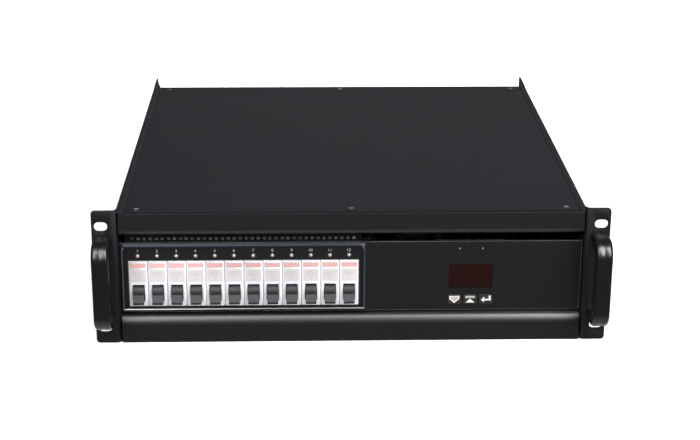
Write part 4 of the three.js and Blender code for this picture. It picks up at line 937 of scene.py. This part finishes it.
# Fan rotors
# Each rotor is one glass-filled moulding that turns round its motor: a cup-shaped hub and seven swept blades, which
# are steeper at the root than at the tip.
def blade(hub, tip, depth, root_angle, tip_angle, sweep, thickness):
    """One blade as rows from the hub to the tip, drawn about the Y axis. Each row is a thin loop: its chord lies
    at an angle that eases from the root's to the tip's, with a camber of a parabola, and it is laid round the
    axis at its own radius and swept forward in proportion to the share of the span."""
    share = np.linspace(0, 1, 13)[:, None]
    loop = np.linspace(0, 2 * math.pi, 28, endpoint=False)[None]
    radius = hub + (tip - hub) * share
    angle = root_angle + (tip_angle - root_angle) * share
    chord = depth / np.cos(angle)
    along = np.cos(loop) * chord / 2
    bow = 0.09 * chord * (1 - np.cos(loop)**2) + np.sin(loop) * thickness / 2
    y = along * np.cos(angle) - bow * np.sin(angle)
    swing = (along * np.sin(angle) + bow * np.cos(angle)) / radius + sweep * share
    return np.stack([radius * np.sin(swing), y, radius * np.cos(swing)], -1)


for side in ("left", "right"):
    low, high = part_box(side + "_fan_rotor")
    middle = (low + high) / 2
    depth = high.y - low.y
    shaped = blade(hub_radius - 1 * MM, bore_radius - 1.6 * MM, 0.78 * depth, math.radians(52), math.radians(34),
                   0.35, 1.5 * MM)
    blades = []
    for i in range(7):
        angle = 2 * math.pi * i / 7
        spin = np.array([[math.cos(angle), 0, -math.sin(angle)], [0, 1, 0], [math.sin(angle), 0, math.cos(angle)]])
        blades.append(tube(shaped @ spin + np.array(middle)))
    hub = revolved([(1 * MM, -depth / 2), (hub_radius, -depth / 2), (hub_radius, depth / 2 - 1.5 * MM),
                    (hub_radius - 1.5 * MM, depth / 2), (6 * MM, depth / 2), (5.4 * MM, depth / 2 - 0.5 * MM),
                    (1 * MM, depth / 2 - 0.5 * MM)], middle, (0, 1, 0), 56)
    piece(side + "_fan_wheel", joined(hub, *blades), fan_black, side + "_fan_rotor", "fan_plastic",
          side + "_fan_rotor")


# Signal sockets
# A three-pin inlet and a three-hole outlet with a latch, in die-cast shells coated in satin grey, each held by two
# screws through its flange. The inserts are black, and the pins are gold plated.
socket_grey = finished("socket_grey", (0.2, 0.205, 0.21), 0.36, 0.7 * MM, 0.015 * MM, mottle=0.08, edge=0.35,
                       edge_colour=(0.6, 0.6, 0.6), metallic=0.7)
insert_black = finished("insert_black", (0.02, 0.02, 0.021), 0.5, 0.6 * MM, 0.006 * MM)
pin_gold = finished("pin_gold", (0.75, 0.52, 0.2), 0.25, 1 * MM, 0.003 * MM, metallic=1.0)
contact_angles = np.radians([30, 150, 270])
contact_circle, screw_side, screw_rise = 5.4 * MM, 9.5 * MM, 12 * MM
cup_radius, shell_radius, core_radius = 9 * MM, 11.8 * MM, 7.4 * MM
for name, gender in (("signal_input_socket", "inlet"), ("signal_output_socket", "outlet")):
    low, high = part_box(name)
    middle = (low + high) / 2
    back = high.y - 2.2 * MM
    flange_edge = middle_outline(low, high, 0, 2.5 * MM)
    screw_places = [(middle.x - screw_side, middle.z + screw_rise), (middle.x + screw_side, middle.z - screw_rise)]
    face = plate([flange_edge, round_outline(middle.x, middle.z, cup_radius + 0.6 * MM, 48)], back - 2 * MM, back)
    barrel = revolved([(shell_radius, low.y), (shell_radius, high.y - 0.6 * MM), (shell_radius - 0.6 * MM, high.y),
                       (cup_radius + 0.4 * MM, high.y), (cup_radius, high.y - 0.5 * MM), (cup_radius, low.y)],
                      (middle.x, 0, middle.z), (0, 1, 0), 64, True)
    piece(gender + "_shell", joined(face, barrel), socket_grey, "chassis", "socket_metal", name, ease=0.25 * MM)
    contacts = [(middle.x + contact_circle * math.cos(a), middle.z + contact_circle * math.sin(a))
                for a in contact_angles]
    if gender == "inlet":
        floor = high.y - 13.5 * MM
        insert = plate([round_outline(middle.x, middle.z, cup_radius - 0.05 * MM, 48)], low.y + 1 * MM, floor)
        pins = [revolved([(1.2 * MM, floor - 1 * MM), (1.2 * MM, high.y - 2.9 * MM), (0.9 * MM, high.y - 2.2 * MM),
                          (0.2 * MM, high.y - 2 * MM)], (x, 0, z), (0, 1, 0), 20) for x, z in contacts]
        piece("inlet_pins", joined(*pins), pin_gold, "chassis", "socket_metal")
    else:
        floor = high.y - 0.4 * MM
        core = plate([round_outline(middle.x, middle.z, core_radius, 48),
                      *[round_outline(x, z, 1.3 * MM, 20) for x, z in contacts]], high.y - 9 * MM, floor)
        insert = joined(core, plate([round_outline(middle.x, middle.z, cup_radius - 0.05 * MM, 48)], low.y + 1 * MM,
                                    high.y - 9 * MM))
    piece(gender + "_insert", insert, insert_black, "chassis", "socket_metal", ease=0.2 * MM)
    piece(gender + "_screws", joined(*[screw_head((x, back, z), (0, 1, 0), 2.6 * MM, 0.9 * MM, x * 900)
                                       for x, z in screw_places]), black_zinc, "chassis", "socket_metal")

latch_low, latch_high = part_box("output_latch")
latch_bright = finished("latch_bright", (0.5, 0.5, 0.51), 0.3, 0.8 * MM, 0.008 * MM, mottle=0.12, metallic=0.9)
latch_shell = plate([middle_outline(latch_low, latch_high, 0, 0.8 * MM)], latch_low.y, latch_high.y)
piece("latch_tab", latch_shell, latch_bright, "output_latch", "latch_metal", "output_latch", ease=0.5 * MM)


# Supply gland
# A black nylon gland: a hexagon against the panel, a ribbed dome nut over it with a rubber seal in its mouth, the
# thread through the panel and a lock nut inside.
def fluted(profile, place, ribs, depth, steps):
    """A profile of radii and heights turned about the Y axis. Each radius is lowered, by the depth times its
    share from the third column, where the cosine of ribs times the angle is low."""
    profile = np.asarray(profile, float)
    around = np.linspace(0, 2 * math.pi, steps, endpoint=False)
    dip = depth * profile[:, 2:] * (0.5 - 0.5 * np.cos(ribs * around))
    radius = profile[:, :1] - dip
    rings = np.stack([radius * np.cos(around), radius * np.sin(around), np.tile(profile[:, 1:2], steps)], -1)
    return tube(rings @ towards((0, 1, 0)) + np.asarray(place), True)


def hexagon_ring(across, bore, back, front, corner):
    """A hexagon nut: at each angle its radius is half its width over the cosine of the angle from the nearest
    flat's middle, and no more than the round that chamfers its corners at both ends."""
    around = np.linspace(0, 2 * math.pi, 72, endpoint=False)
    flat = across / 2 / np.cos((around + math.pi / 6) % (math.pi / 3) - math.pi / 6)
    rows = [(np.minimum(flat, across / 2), back), (np.minimum(flat, corner), back + (corner - across / 2) * 0.6),
            (np.minimum(flat, corner), front - (corner - across / 2) * 0.6), (np.minimum(flat, across / 2), front),
            (np.full(72, bore), front), (np.full(72, bore), back)]
    rings = np.stack([np.stack([radius * np.cos(around), np.full(72, y), radius * np.sin(around)], -1)
                      for radius, y in rows])
    return tube(rings, True)


gland_low, gland_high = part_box("supply_gland")
gland_place = np.array((gland_middle.x, 0, gland_middle.z))
gland_nylon = finished("gland_nylon", (0.02, 0.02, 0.0215), 0.45, 0.7 * MM, 0.01 * MM, mottle=0.1, edge=0.08)
gland_face = rear_face + 0.3 * MM
hex_back = gland_face + 7 * MM
nut_across, nut_corner, gland_bore = 33.4 * MM, 19 * MM, 10 * MM
dome_radius, dome_height = 17 * MM, 8.5 * MM
dome_rise = np.linspace(0, 1, 9)
dome_rows = [(dome_radius, hex_back - 0.4 * MM, 0.0), (dome_radius, hex_back + 0.4 * MM, 1.0),
             (dome_radius, gland_high.y - dome_height, 1.0)]
dome_rows += [(dome_radius - 5.2 * MM * (1 - math.sqrt(1 - 0.96 * share**2)),
               gland_high.y - dome_height + dome_height * share, float(1 - share)) for share in dome_rise[1:]]
dome_rows += [(gland_bore + 1.4 * MM, gland_high.y - 0.3 * MM, 0.0), (gland_bore + 1.4 * MM, hex_back, 0.0)]
thread_crest, thread_root, thread_rows = 15.8 * MM, 15.2 * MM, []
for i in range(19):
    thread_rows += [(thread_crest, gland_low.y + i * 0.9 * MM, 0.0),
                    (thread_root, gland_low.y + (i + 0.5) * 0.9 * MM, 0.0)]
thread_rows += [(thread_crest, hex_back, 0.0), (gland_bore, hex_back, 0.0), (gland_bore, gland_low.y, 0.0)]
hex_shells = [hexagon_ring(nut_across, gland_bore + 1 * MM, gland_face, hex_back, nut_corner),
              hexagon_ring(nut_across, 15 * MM, rear_face - 8.3 * MM, rear_face - 2.3 * MM, nut_corner)]
gland_shell = joined(fluted(dome_rows, gland_place, 24, 0.9 * MM, 192), fluted(thread_rows, gland_place, 1, 0, 64),
                     *[(points + gland_place, faces) for points, faces in hex_shells])
piece("gland_body", gland_shell, gland_nylon, "chassis", "gland_nylon", "supply_gland", sharp=28)
seal_rubber = finished("seal_rubber", (0.035, 0.035, 0.036), 0.7, 0.5 * MM, 0.02 * MM)
seal = revolved([(gland_bore + 1.5 * MM, hex_back + 1 * MM), (gland_bore + 1.5 * MM, gland_high.y - 1.2 * MM),
                 (gland_bore + 0.9 * MM, gland_high.y - 0.6 * MM), (gland_bore, gland_high.y - 1.4 * MM),
                 (gland_bore, hex_back + 1 * MM)], gland_place, (0, 1, 0), 64, True)
piece("gland_seal", seal, seal_rubber, "chassis", "gland_nylon")


# Output terminal block
# One moulded block that stands out through the rear panel and is held by four screws. Each of its twelve numbered
# ways is a pocket with a plated clamp and its screw on the floor.
terminal_low, terminal_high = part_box("output_terminal_block")
terminal_grey = finished("terminal_grey", (0.04, 0.04, 0.046), 0.42, 0.8 * MM, 0.012 * MM, mottle=0.1, edge=0.12)
terminal_x = (terminal_low.x + terminal_high.x) / 2
terminal_z = (terminal_low.z + terminal_high.z) / 2
way_spacing, way_floor = 190 * MM / 12, terminal_high.y - 3.5 * MM
ways = [terminal_x + way_spacing * (i - 5.5) for i in range(12)]
row_outline = middle_outline(terminal_low, terminal_high, -5 * MM, 1 * MM)
way_width, way_height = 11 * MM, 12 * MM
way_outlines = [rounded_outline(x, terminal_z, way_width, way_height, 0.8 * MM) for x in ways]
lip_outline = middle_outline(terminal_low, terminal_high, 0, 1.5 * MM)
terminal_row = joined(plate([row_outline], terminal_low.y, way_floor),
                      plate([row_outline, *way_outlines], way_floor, terminal_high.y),
                      plate([lip_outline, row_outline], terminal_low.y + 16.3 * MM, terminal_low.y + 18.3 * MM))
piece("output_row", terminal_row, terminal_grey, "chassis", "terminal_plastic", "output_terminal_block",
      ease=0.4 * MM)
clamps = [screw_head((x, way_floor, terminal_z - 1 * MM), (0, 1, 0), 3.1 * MM, 1.0 * MM, turns[95 + i])
          for i, x in enumerate(ways)]
piece("output_clamp_screws", joined(*clamps), bright_zinc, "chassis", "terminal_plastic")
cages = [plate([rounded_outline(x, terminal_z - 1 * MM, 9 * MM, 8.4 * MM, 0.6 * MM)], way_floor - 0.1 * MM,
               way_floor + 0.35 * MM) for x in ways]
piece("output_clamp_plates", joined(*cages), bright_zinc, "chassis", "terminal_plastic", ease=0.1 * MM)
way_numbers = []
for i, x in enumerate(ways):
    points, faces = printed(str(i + 1), 3.6 * MM, 0, terminal_z + 10.5 * MM, -0.035 * MM, 0.07 * MM)
    way_numbers.append((points * (-1, -1, 1) + (-x, terminal_high.y, 0), faces))
piece("way_numbers", joined(*way_numbers), white_ink, "chassis", "terminal_plastic")
corner_x, corner_z = 97.5 * MM, 12 * MM
block_screws = [screw_head((terminal_x + side * corner_x, terminal_low.y + 30.3 * MM, terminal_z + rise * corner_z),
                           (0, 1, 0), 1.9 * MM, 0.8 * MM, side + rise) for side in (-1, 1) for rise in (-1, 1)]
piece("output_block_screws", joined(*block_screws), black_zinc, "chassis", "terminal_plastic")


# Rail and bracket
# The breakers clip on a rolled top-hat rail of zinc-plated steel. A bracket, bent from one zinc-plated sheet,
# holds the rail up from the floor of the pan.
for node in ("din_rail", "breaker_bracket"):
    refined(node, "chassis", 0.25 * MM, bright_zinc, "zinc_plate")


# Heatsinks
# Extruded aluminium combs, coloured near-black: painted shade, so that what shows of them through the air slot
# stays dark. They are drawn along the air stream, and fine die lines run along them.
heatsink_shade_black = finished("heatsink_painted_shade", (0.006, 0.006, 0.007), 0.4, 0.5 * MM, 0.02 * MM, mottle=0.06, edge=0.05,
                    edge_colour=(0.1, 0.1, 0.11), stretch=(1, 0.03, 1), Specular_IOR_Level=0.3)
for node in ("left_heatsink", "right_heatsink"):
    refined(node, "chassis", 0.3 * MM, heatsink_shade_black, "heatsink_aluminium")


# Power boards
# Six thyristor modules in black epoxy are bolted to each heatsink, under one green board. Each module's three
# studs come up through the board, and two resistors stand on end beside them.
def upright_block(x, y, width, length, low, high):
    """A box on a middle point in X and Y, between two heights."""
    return block((x - width / 2, y - length / 2, low), (x + width / 2, y + length / 2, high))


def standing_pin(x, y, radius, low, high, steps=20):
    """A round pin on end, with its top edge taken off."""
    cut = radius * 0.25
    return revolved([(radius, low), (radius, high - cut), (radius - cut, high), (0.01 * MM, high)], (x, y, 0),
                    (0, 0, 1), steps)


epoxy_black = finished("epoxy_black", (0.025, 0.025, 0.027), 0.42, 0.6 * MM, 0.01 * MM, edge=0.08)
body_beige = finished("resistor_body", (0.45, 0.36, 0.22), 0.5, 0.6 * MM, 0.008 * MM, mottle=0.1)
module_width, module_length = 28 * MM, 32 * MM
for side in ("left", "right"):
    low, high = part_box(side + "_power_board")
    sink_low, sink_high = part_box(side + "_heatsink")
    x, board_bottom = (low.x + high.x) / 2, high.z - 1.9 * MM
    pitch = (sink_high.y - sink_low.y) / 6
    lines = [sink_low.y + pitch * (i + 0.5) for i in range(6)]
    board_sheet = block((low.x, low.y, board_bottom + 0.3 * MM), (high.x, high.y, high.z))
    piece(side + "_power_sheet", board_sheet, board_green, "chassis", "circuit_board", side + "_power_board",
          ease=0.15 * MM)
    modules = [upright_block(x, y, module_width, module_length, low.z, board_bottom + 0.25 * MM) for y in lines]
    piece(side + "_thyristors", joined(*modules), epoxy_black, "chassis", "circuit_board", ease=0.8 * MM)
    studs = [standing_pin(x + offset * MM, y, 2.4 * MM, high.z - 0.1 * MM, high.z + 2.2 * MM)
             for y in lines for offset in (-9, 0, 9)]
    piece(side + "_studs", joined(*studs), bright_zinc, "chassis", "circuit_board", sharp=30)
    gate_parts = [standing_pin(x + 24 * MM, y + offset * MM, 1.4 * MM, high.z - 0.1 * MM, high.z + 5 * MM)
                  for y in lines for offset in (-6, 6)]
    piece(side + "_gate_parts", joined(*gate_parts), body_beige, "chassis", "circuit_board", sharp=30)


# Choke bank
# Twelve ring chokes on one zinc-plated tray. Each is wound in one layer of enamelled copper wire round a ring
# core, and a strap and a bolt through its middle hold it down.
def winding(place, inner, outer, height, turns_count, wire_radius):
    """One unbroken wire wound round a ring. Its middle line goes round the ring once while it goes round the
    core's section turns_count times; the section is a rounded rectangle, the fourth-power oval of the half width
    and half height. The wire's own section is a hexagon across that line."""
    share = np.linspace(0, 0.94, turns_count * 12 + 1)
    about, round_core = 2 * math.pi * share, 2 * math.pi * turns_count * share / 0.94
    middle, half_width = (inner + outer) / 2, (outer - inner) / 2 - wire_radius
    oval = (np.abs(np.cos(round_core))**4 + np.abs(np.sin(round_core))**4)**-0.25
    radius = middle + half_width * oval * np.cos(round_core)
    rise = (height / 2 - wire_radius) * oval * np.sin(round_core)
    line = np.column_stack([radius * np.cos(about), radius * np.sin(about), rise])
    ahead_of = np.gradient(line, axis=0)
    ahead_of /= np.linalg.norm(ahead_of, axis=1)[:, None]
    from_core = line - np.column_stack([middle * np.cos(about), middle * np.sin(about), np.zeros(len(about))])
    side_of = np.cross(ahead_of, from_core)
    side_of /= np.linalg.norm(side_of, axis=1)[:, None]
    out_of = np.cross(side_of, ahead_of)
    angles = np.linspace(0, 2 * math.pi, 6, endpoint=False)
    ring = np.cos(angles)[None, :, None] * side_of[:, None] + np.sin(angles)[None, :, None] * out_of[:, None]
    return tube(line[:, None] + wire_radius * ring + np.asarray(place))


bank_low, bank_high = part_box("choke_bank")
tray_top = bank_low.z + 2 * MM
choke_outer, choke_inner, choke_height, choke_spacing = 25 * MM, 11 * MM, 22 * MM, 52 * MM
choke_places = [((bank_low.x + bank_high.x) / 2 + choke_spacing * (column - 0.5),
                 bank_low.y + 3 * MM + choke_spacing * (line + 0.5)) for column in range(2) for line in range(6)]
copper = finished("enamelled_copper", (0.42, 0.16, 0.06), 0.24, 2 * MM, 0.004 * MM, mottle=0.2, metallic=0.85)
core_green = finished("core_paint", (0.1, 0.14, 0.11), 0.5, 0.6 * MM, 0.01 * MM)
tray = block((bank_low.x, bank_low.y, bank_low.z), (bank_high.x, bank_high.y, tray_top))
piece("choke_tray", tray, bright_zinc, "chassis", "choke_windings", "choke_bank", ease=0.4 * MM)
middle_z = tray_top + choke_height / 2
wire_turns, wire_radius, wire_room = 46, 0.75 * MM, 1.7 * MM
low_edge, high_edge = -choke_height / 2 + wire_room, choke_height / 2 - wire_room
near, far = choke_inner + wire_room, choke_outer - wire_room
core_profile = [(near, low_edge + 1 * MM), (near, high_edge - 1 * MM), (near + 1 * MM, high_edge),
                (far - 2 * MM, high_edge), (far, high_edge - 2 * MM), (far, low_edge + 2 * MM),
                (far - 2 * MM, low_edge), (near + 1 * MM, low_edge)]
strap_top, strap_width, strap_depth = tray_top + choke_height + 0.3 * MM, 30 * MM, 8 * MM
bolt_profile = [(4 * MM, strap_top - 0.1 * MM), (4 * MM, strap_top + 2 * MM), (3.6 * MM, strap_top + 2.3 * MM),
                (0.01 * MM, strap_top + 2.3 * MM)]
wires, cores, straps, bolts = [], [], [], []
for x, y in choke_places:
    wires.append(winding((x, y, middle_z), choke_inner, choke_outer, choke_height, wire_turns, wire_radius))
    cores.append(revolved(core_profile, (x, y, middle_z), (0, 0, 1), 40, True))
    straps.append(upright_block(x, y, strap_width, strap_depth, strap_top - 0.9 * MM, strap_top))
    bolts.append(standing_pin(x, y, 2.5 * MM, tray_top - 0.2 * MM, strap_top + 2.8 * MM))
    bolts.append(revolved(bolt_profile, (x, y, 0), (0, 0, 1), 6))
piece("choke_wires", joined(*wires), copper, "chassis", "choke_windings", sharp=180)
piece("choke_cores", joined(*cores), core_green, "chassis", "choke_windings", sharp=50)
piece("choke_straps", joined(*straps), bright_zinc, "chassis", "choke_windings", ease=0.25 * MM)
piece("choke_bolts", joined(*bolts), bright_zinc, "chassis", "choke_windings", sharp=30)


# Control board
# A green board on four posts, with a laminated transformer, a processor with legs on its four sides and a
# smoothing capacitor in a blue sleeve.
control_low, control_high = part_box("control_board")
sheet_low, sheet_high = control_low.z + 8 * MM, control_low.z + 9.6 * MM
piece("control_sheet", block((control_low.x, control_low.y, sheet_low), (control_high.x, control_high.y, sheet_high)),
      board_green, "chassis", "circuit_board", "control_board", ease=0.15 * MM)
inset = 5 * MM
control_posts = [standing_pin(x, y, 3 * MM, control_low.z, sheet_low + 0.1 * MM, 6)
                 for x in (control_low.x + inset, control_high.x - inset)
                 for y in (control_low.y + inset, control_high.y - inset)]
piece("control_posts", joined(*control_posts), bright_zinc, "chassis", "circuit_board", sharp=30)
coil_x, coil_y = control_low.x + 33 * MM, control_high.y - 30 * MM
steel_laminate = finished("steel_laminate", (0.2, 0.2, 0.21), 0.45, 0.5 * MM, 0.03 * MM, mottle=0.15,
                          stretch=(0.02, 1, 0.02), metallic=0.8)
core_width, core_depth, frame_top = 42 * MM, 20 * MM, sheet_high + 33 * MM
laminations = upright_block(coil_x, coil_y, core_width, core_depth, sheet_high, frame_top)
piece("transformer_core", laminations, steel_laminate, "chassis", "circuit_board", ease=0.4 * MM)
tape_yellow = finished("tape_yellow", (0.5, 0.36, 0.06), 0.4, 0.8 * MM, 0.01 * MM, mottle=0.1)
coil_tape = plate([rounded_outline(coil_x, (sheet_high + frame_top) / 2, 25 * MM, 22 * MM, 3 * MM)],
                  coil_y - 18 * MM, coil_y + 18 * MM)
piece("transformer_coil", coil_tape, tape_yellow, "chassis", "circuit_board", ease=1.2 * MM)
chip_x, chip_y = (control_low.x + control_high.x) / 2, control_low.y + (control_high.y - control_low.y) / 3
chip_size = 18 * MM
chip = upright_block(chip_x, chip_y, chip_size, chip_size, sheet_high + 0.4 * MM, sheet_high + 3.6 * MM)
piece("processor", chip, epoxy_black, "chassis", "circuit_board", ease=0.4 * MM)
legs = []
for i in range(11):
    offset = (i - 5) * 1.5 * MM
    for a, b in ((1, 0), (-1, 0), (0, 1), (0, -1)):
        legs.append(upright_block(chip_x + a * 10 * MM + b * offset, chip_y + b * 10 * MM + a * offset,
                                  (2.2 if a else 0.5) * MM, (2.2 if b else 0.5) * MM, sheet_high - 0.1 * MM,
                                  sheet_high + 0.5 * MM))
piece("processor_legs", joined(*legs), bright_zinc, "chassis", "circuit_board")
can_x, can_y = control_high.x - 16 * MM, (chip_y + coil_y) / 2
can_blue = finished("can_sleeve", (0.03, 0.05, 0.13), 0.3, 1 * MM, 0.004 * MM)
can_radius, can_top = 8 * MM, sheet_high + 26 * MM
can_profile = [(can_radius, sheet_high), (can_radius, sheet_high + 2 * MM), (7.6 * MM, sheet_high + 3 * MM),
               (can_radius, sheet_high + 4 * MM), (can_radius, can_top - 0.8 * MM), (7.2 * MM, can_top)]
can = revolved(can_profile, (can_x, can_y, 0), (0, 0, 1), 40)
piece("capacitor", can, can_blue, "chassis", "circuit_board", sharp=45)
chip_places = [(control_low.x + (12 + 8 * i) * MM, control_low.y + (16 + 9 * j) * MM) for i in range(7)
               for j in range(2)]
small_parts = [upright_block(x, y, 3.2 * MM, 1.8 * MM, sheet_high - 0.1 * MM, sheet_high + 1.3 * MM)
               for x, y in chip_places]
piece("control_small_parts", joined(*small_parts), body_beige, "chassis", "circuit_board", ease=0.2 * MM)


# Supply terminal block
# Five poles for the supply cable, between barriers that are moulded in one with the block. Each pole has a plated
# clamp screw at both ends.
supply_low, supply_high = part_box("supply_terminal_block")
refined("supply_terminal_block", "chassis", 0.5 * MM, terminal_grey, "terminal_plastic")
pole_step = 60 * MM / 5
supply_screws = [screw_head((supply_low.x + 2 * MM + pole_step * i + 5 * MM, y, supply_high.z - 9 * MM), (0, 0, 1),
                            3.4 * MM, 1.4 * MM, turns[105 + i])
                 for i in range(5) for y in (supply_low.y + 6 * MM, supply_high.y - 6 * MM)]
piece("supply_clamp_screws", joined(*supply_screws), bright_zinc, "chassis", "terminal_plastic")
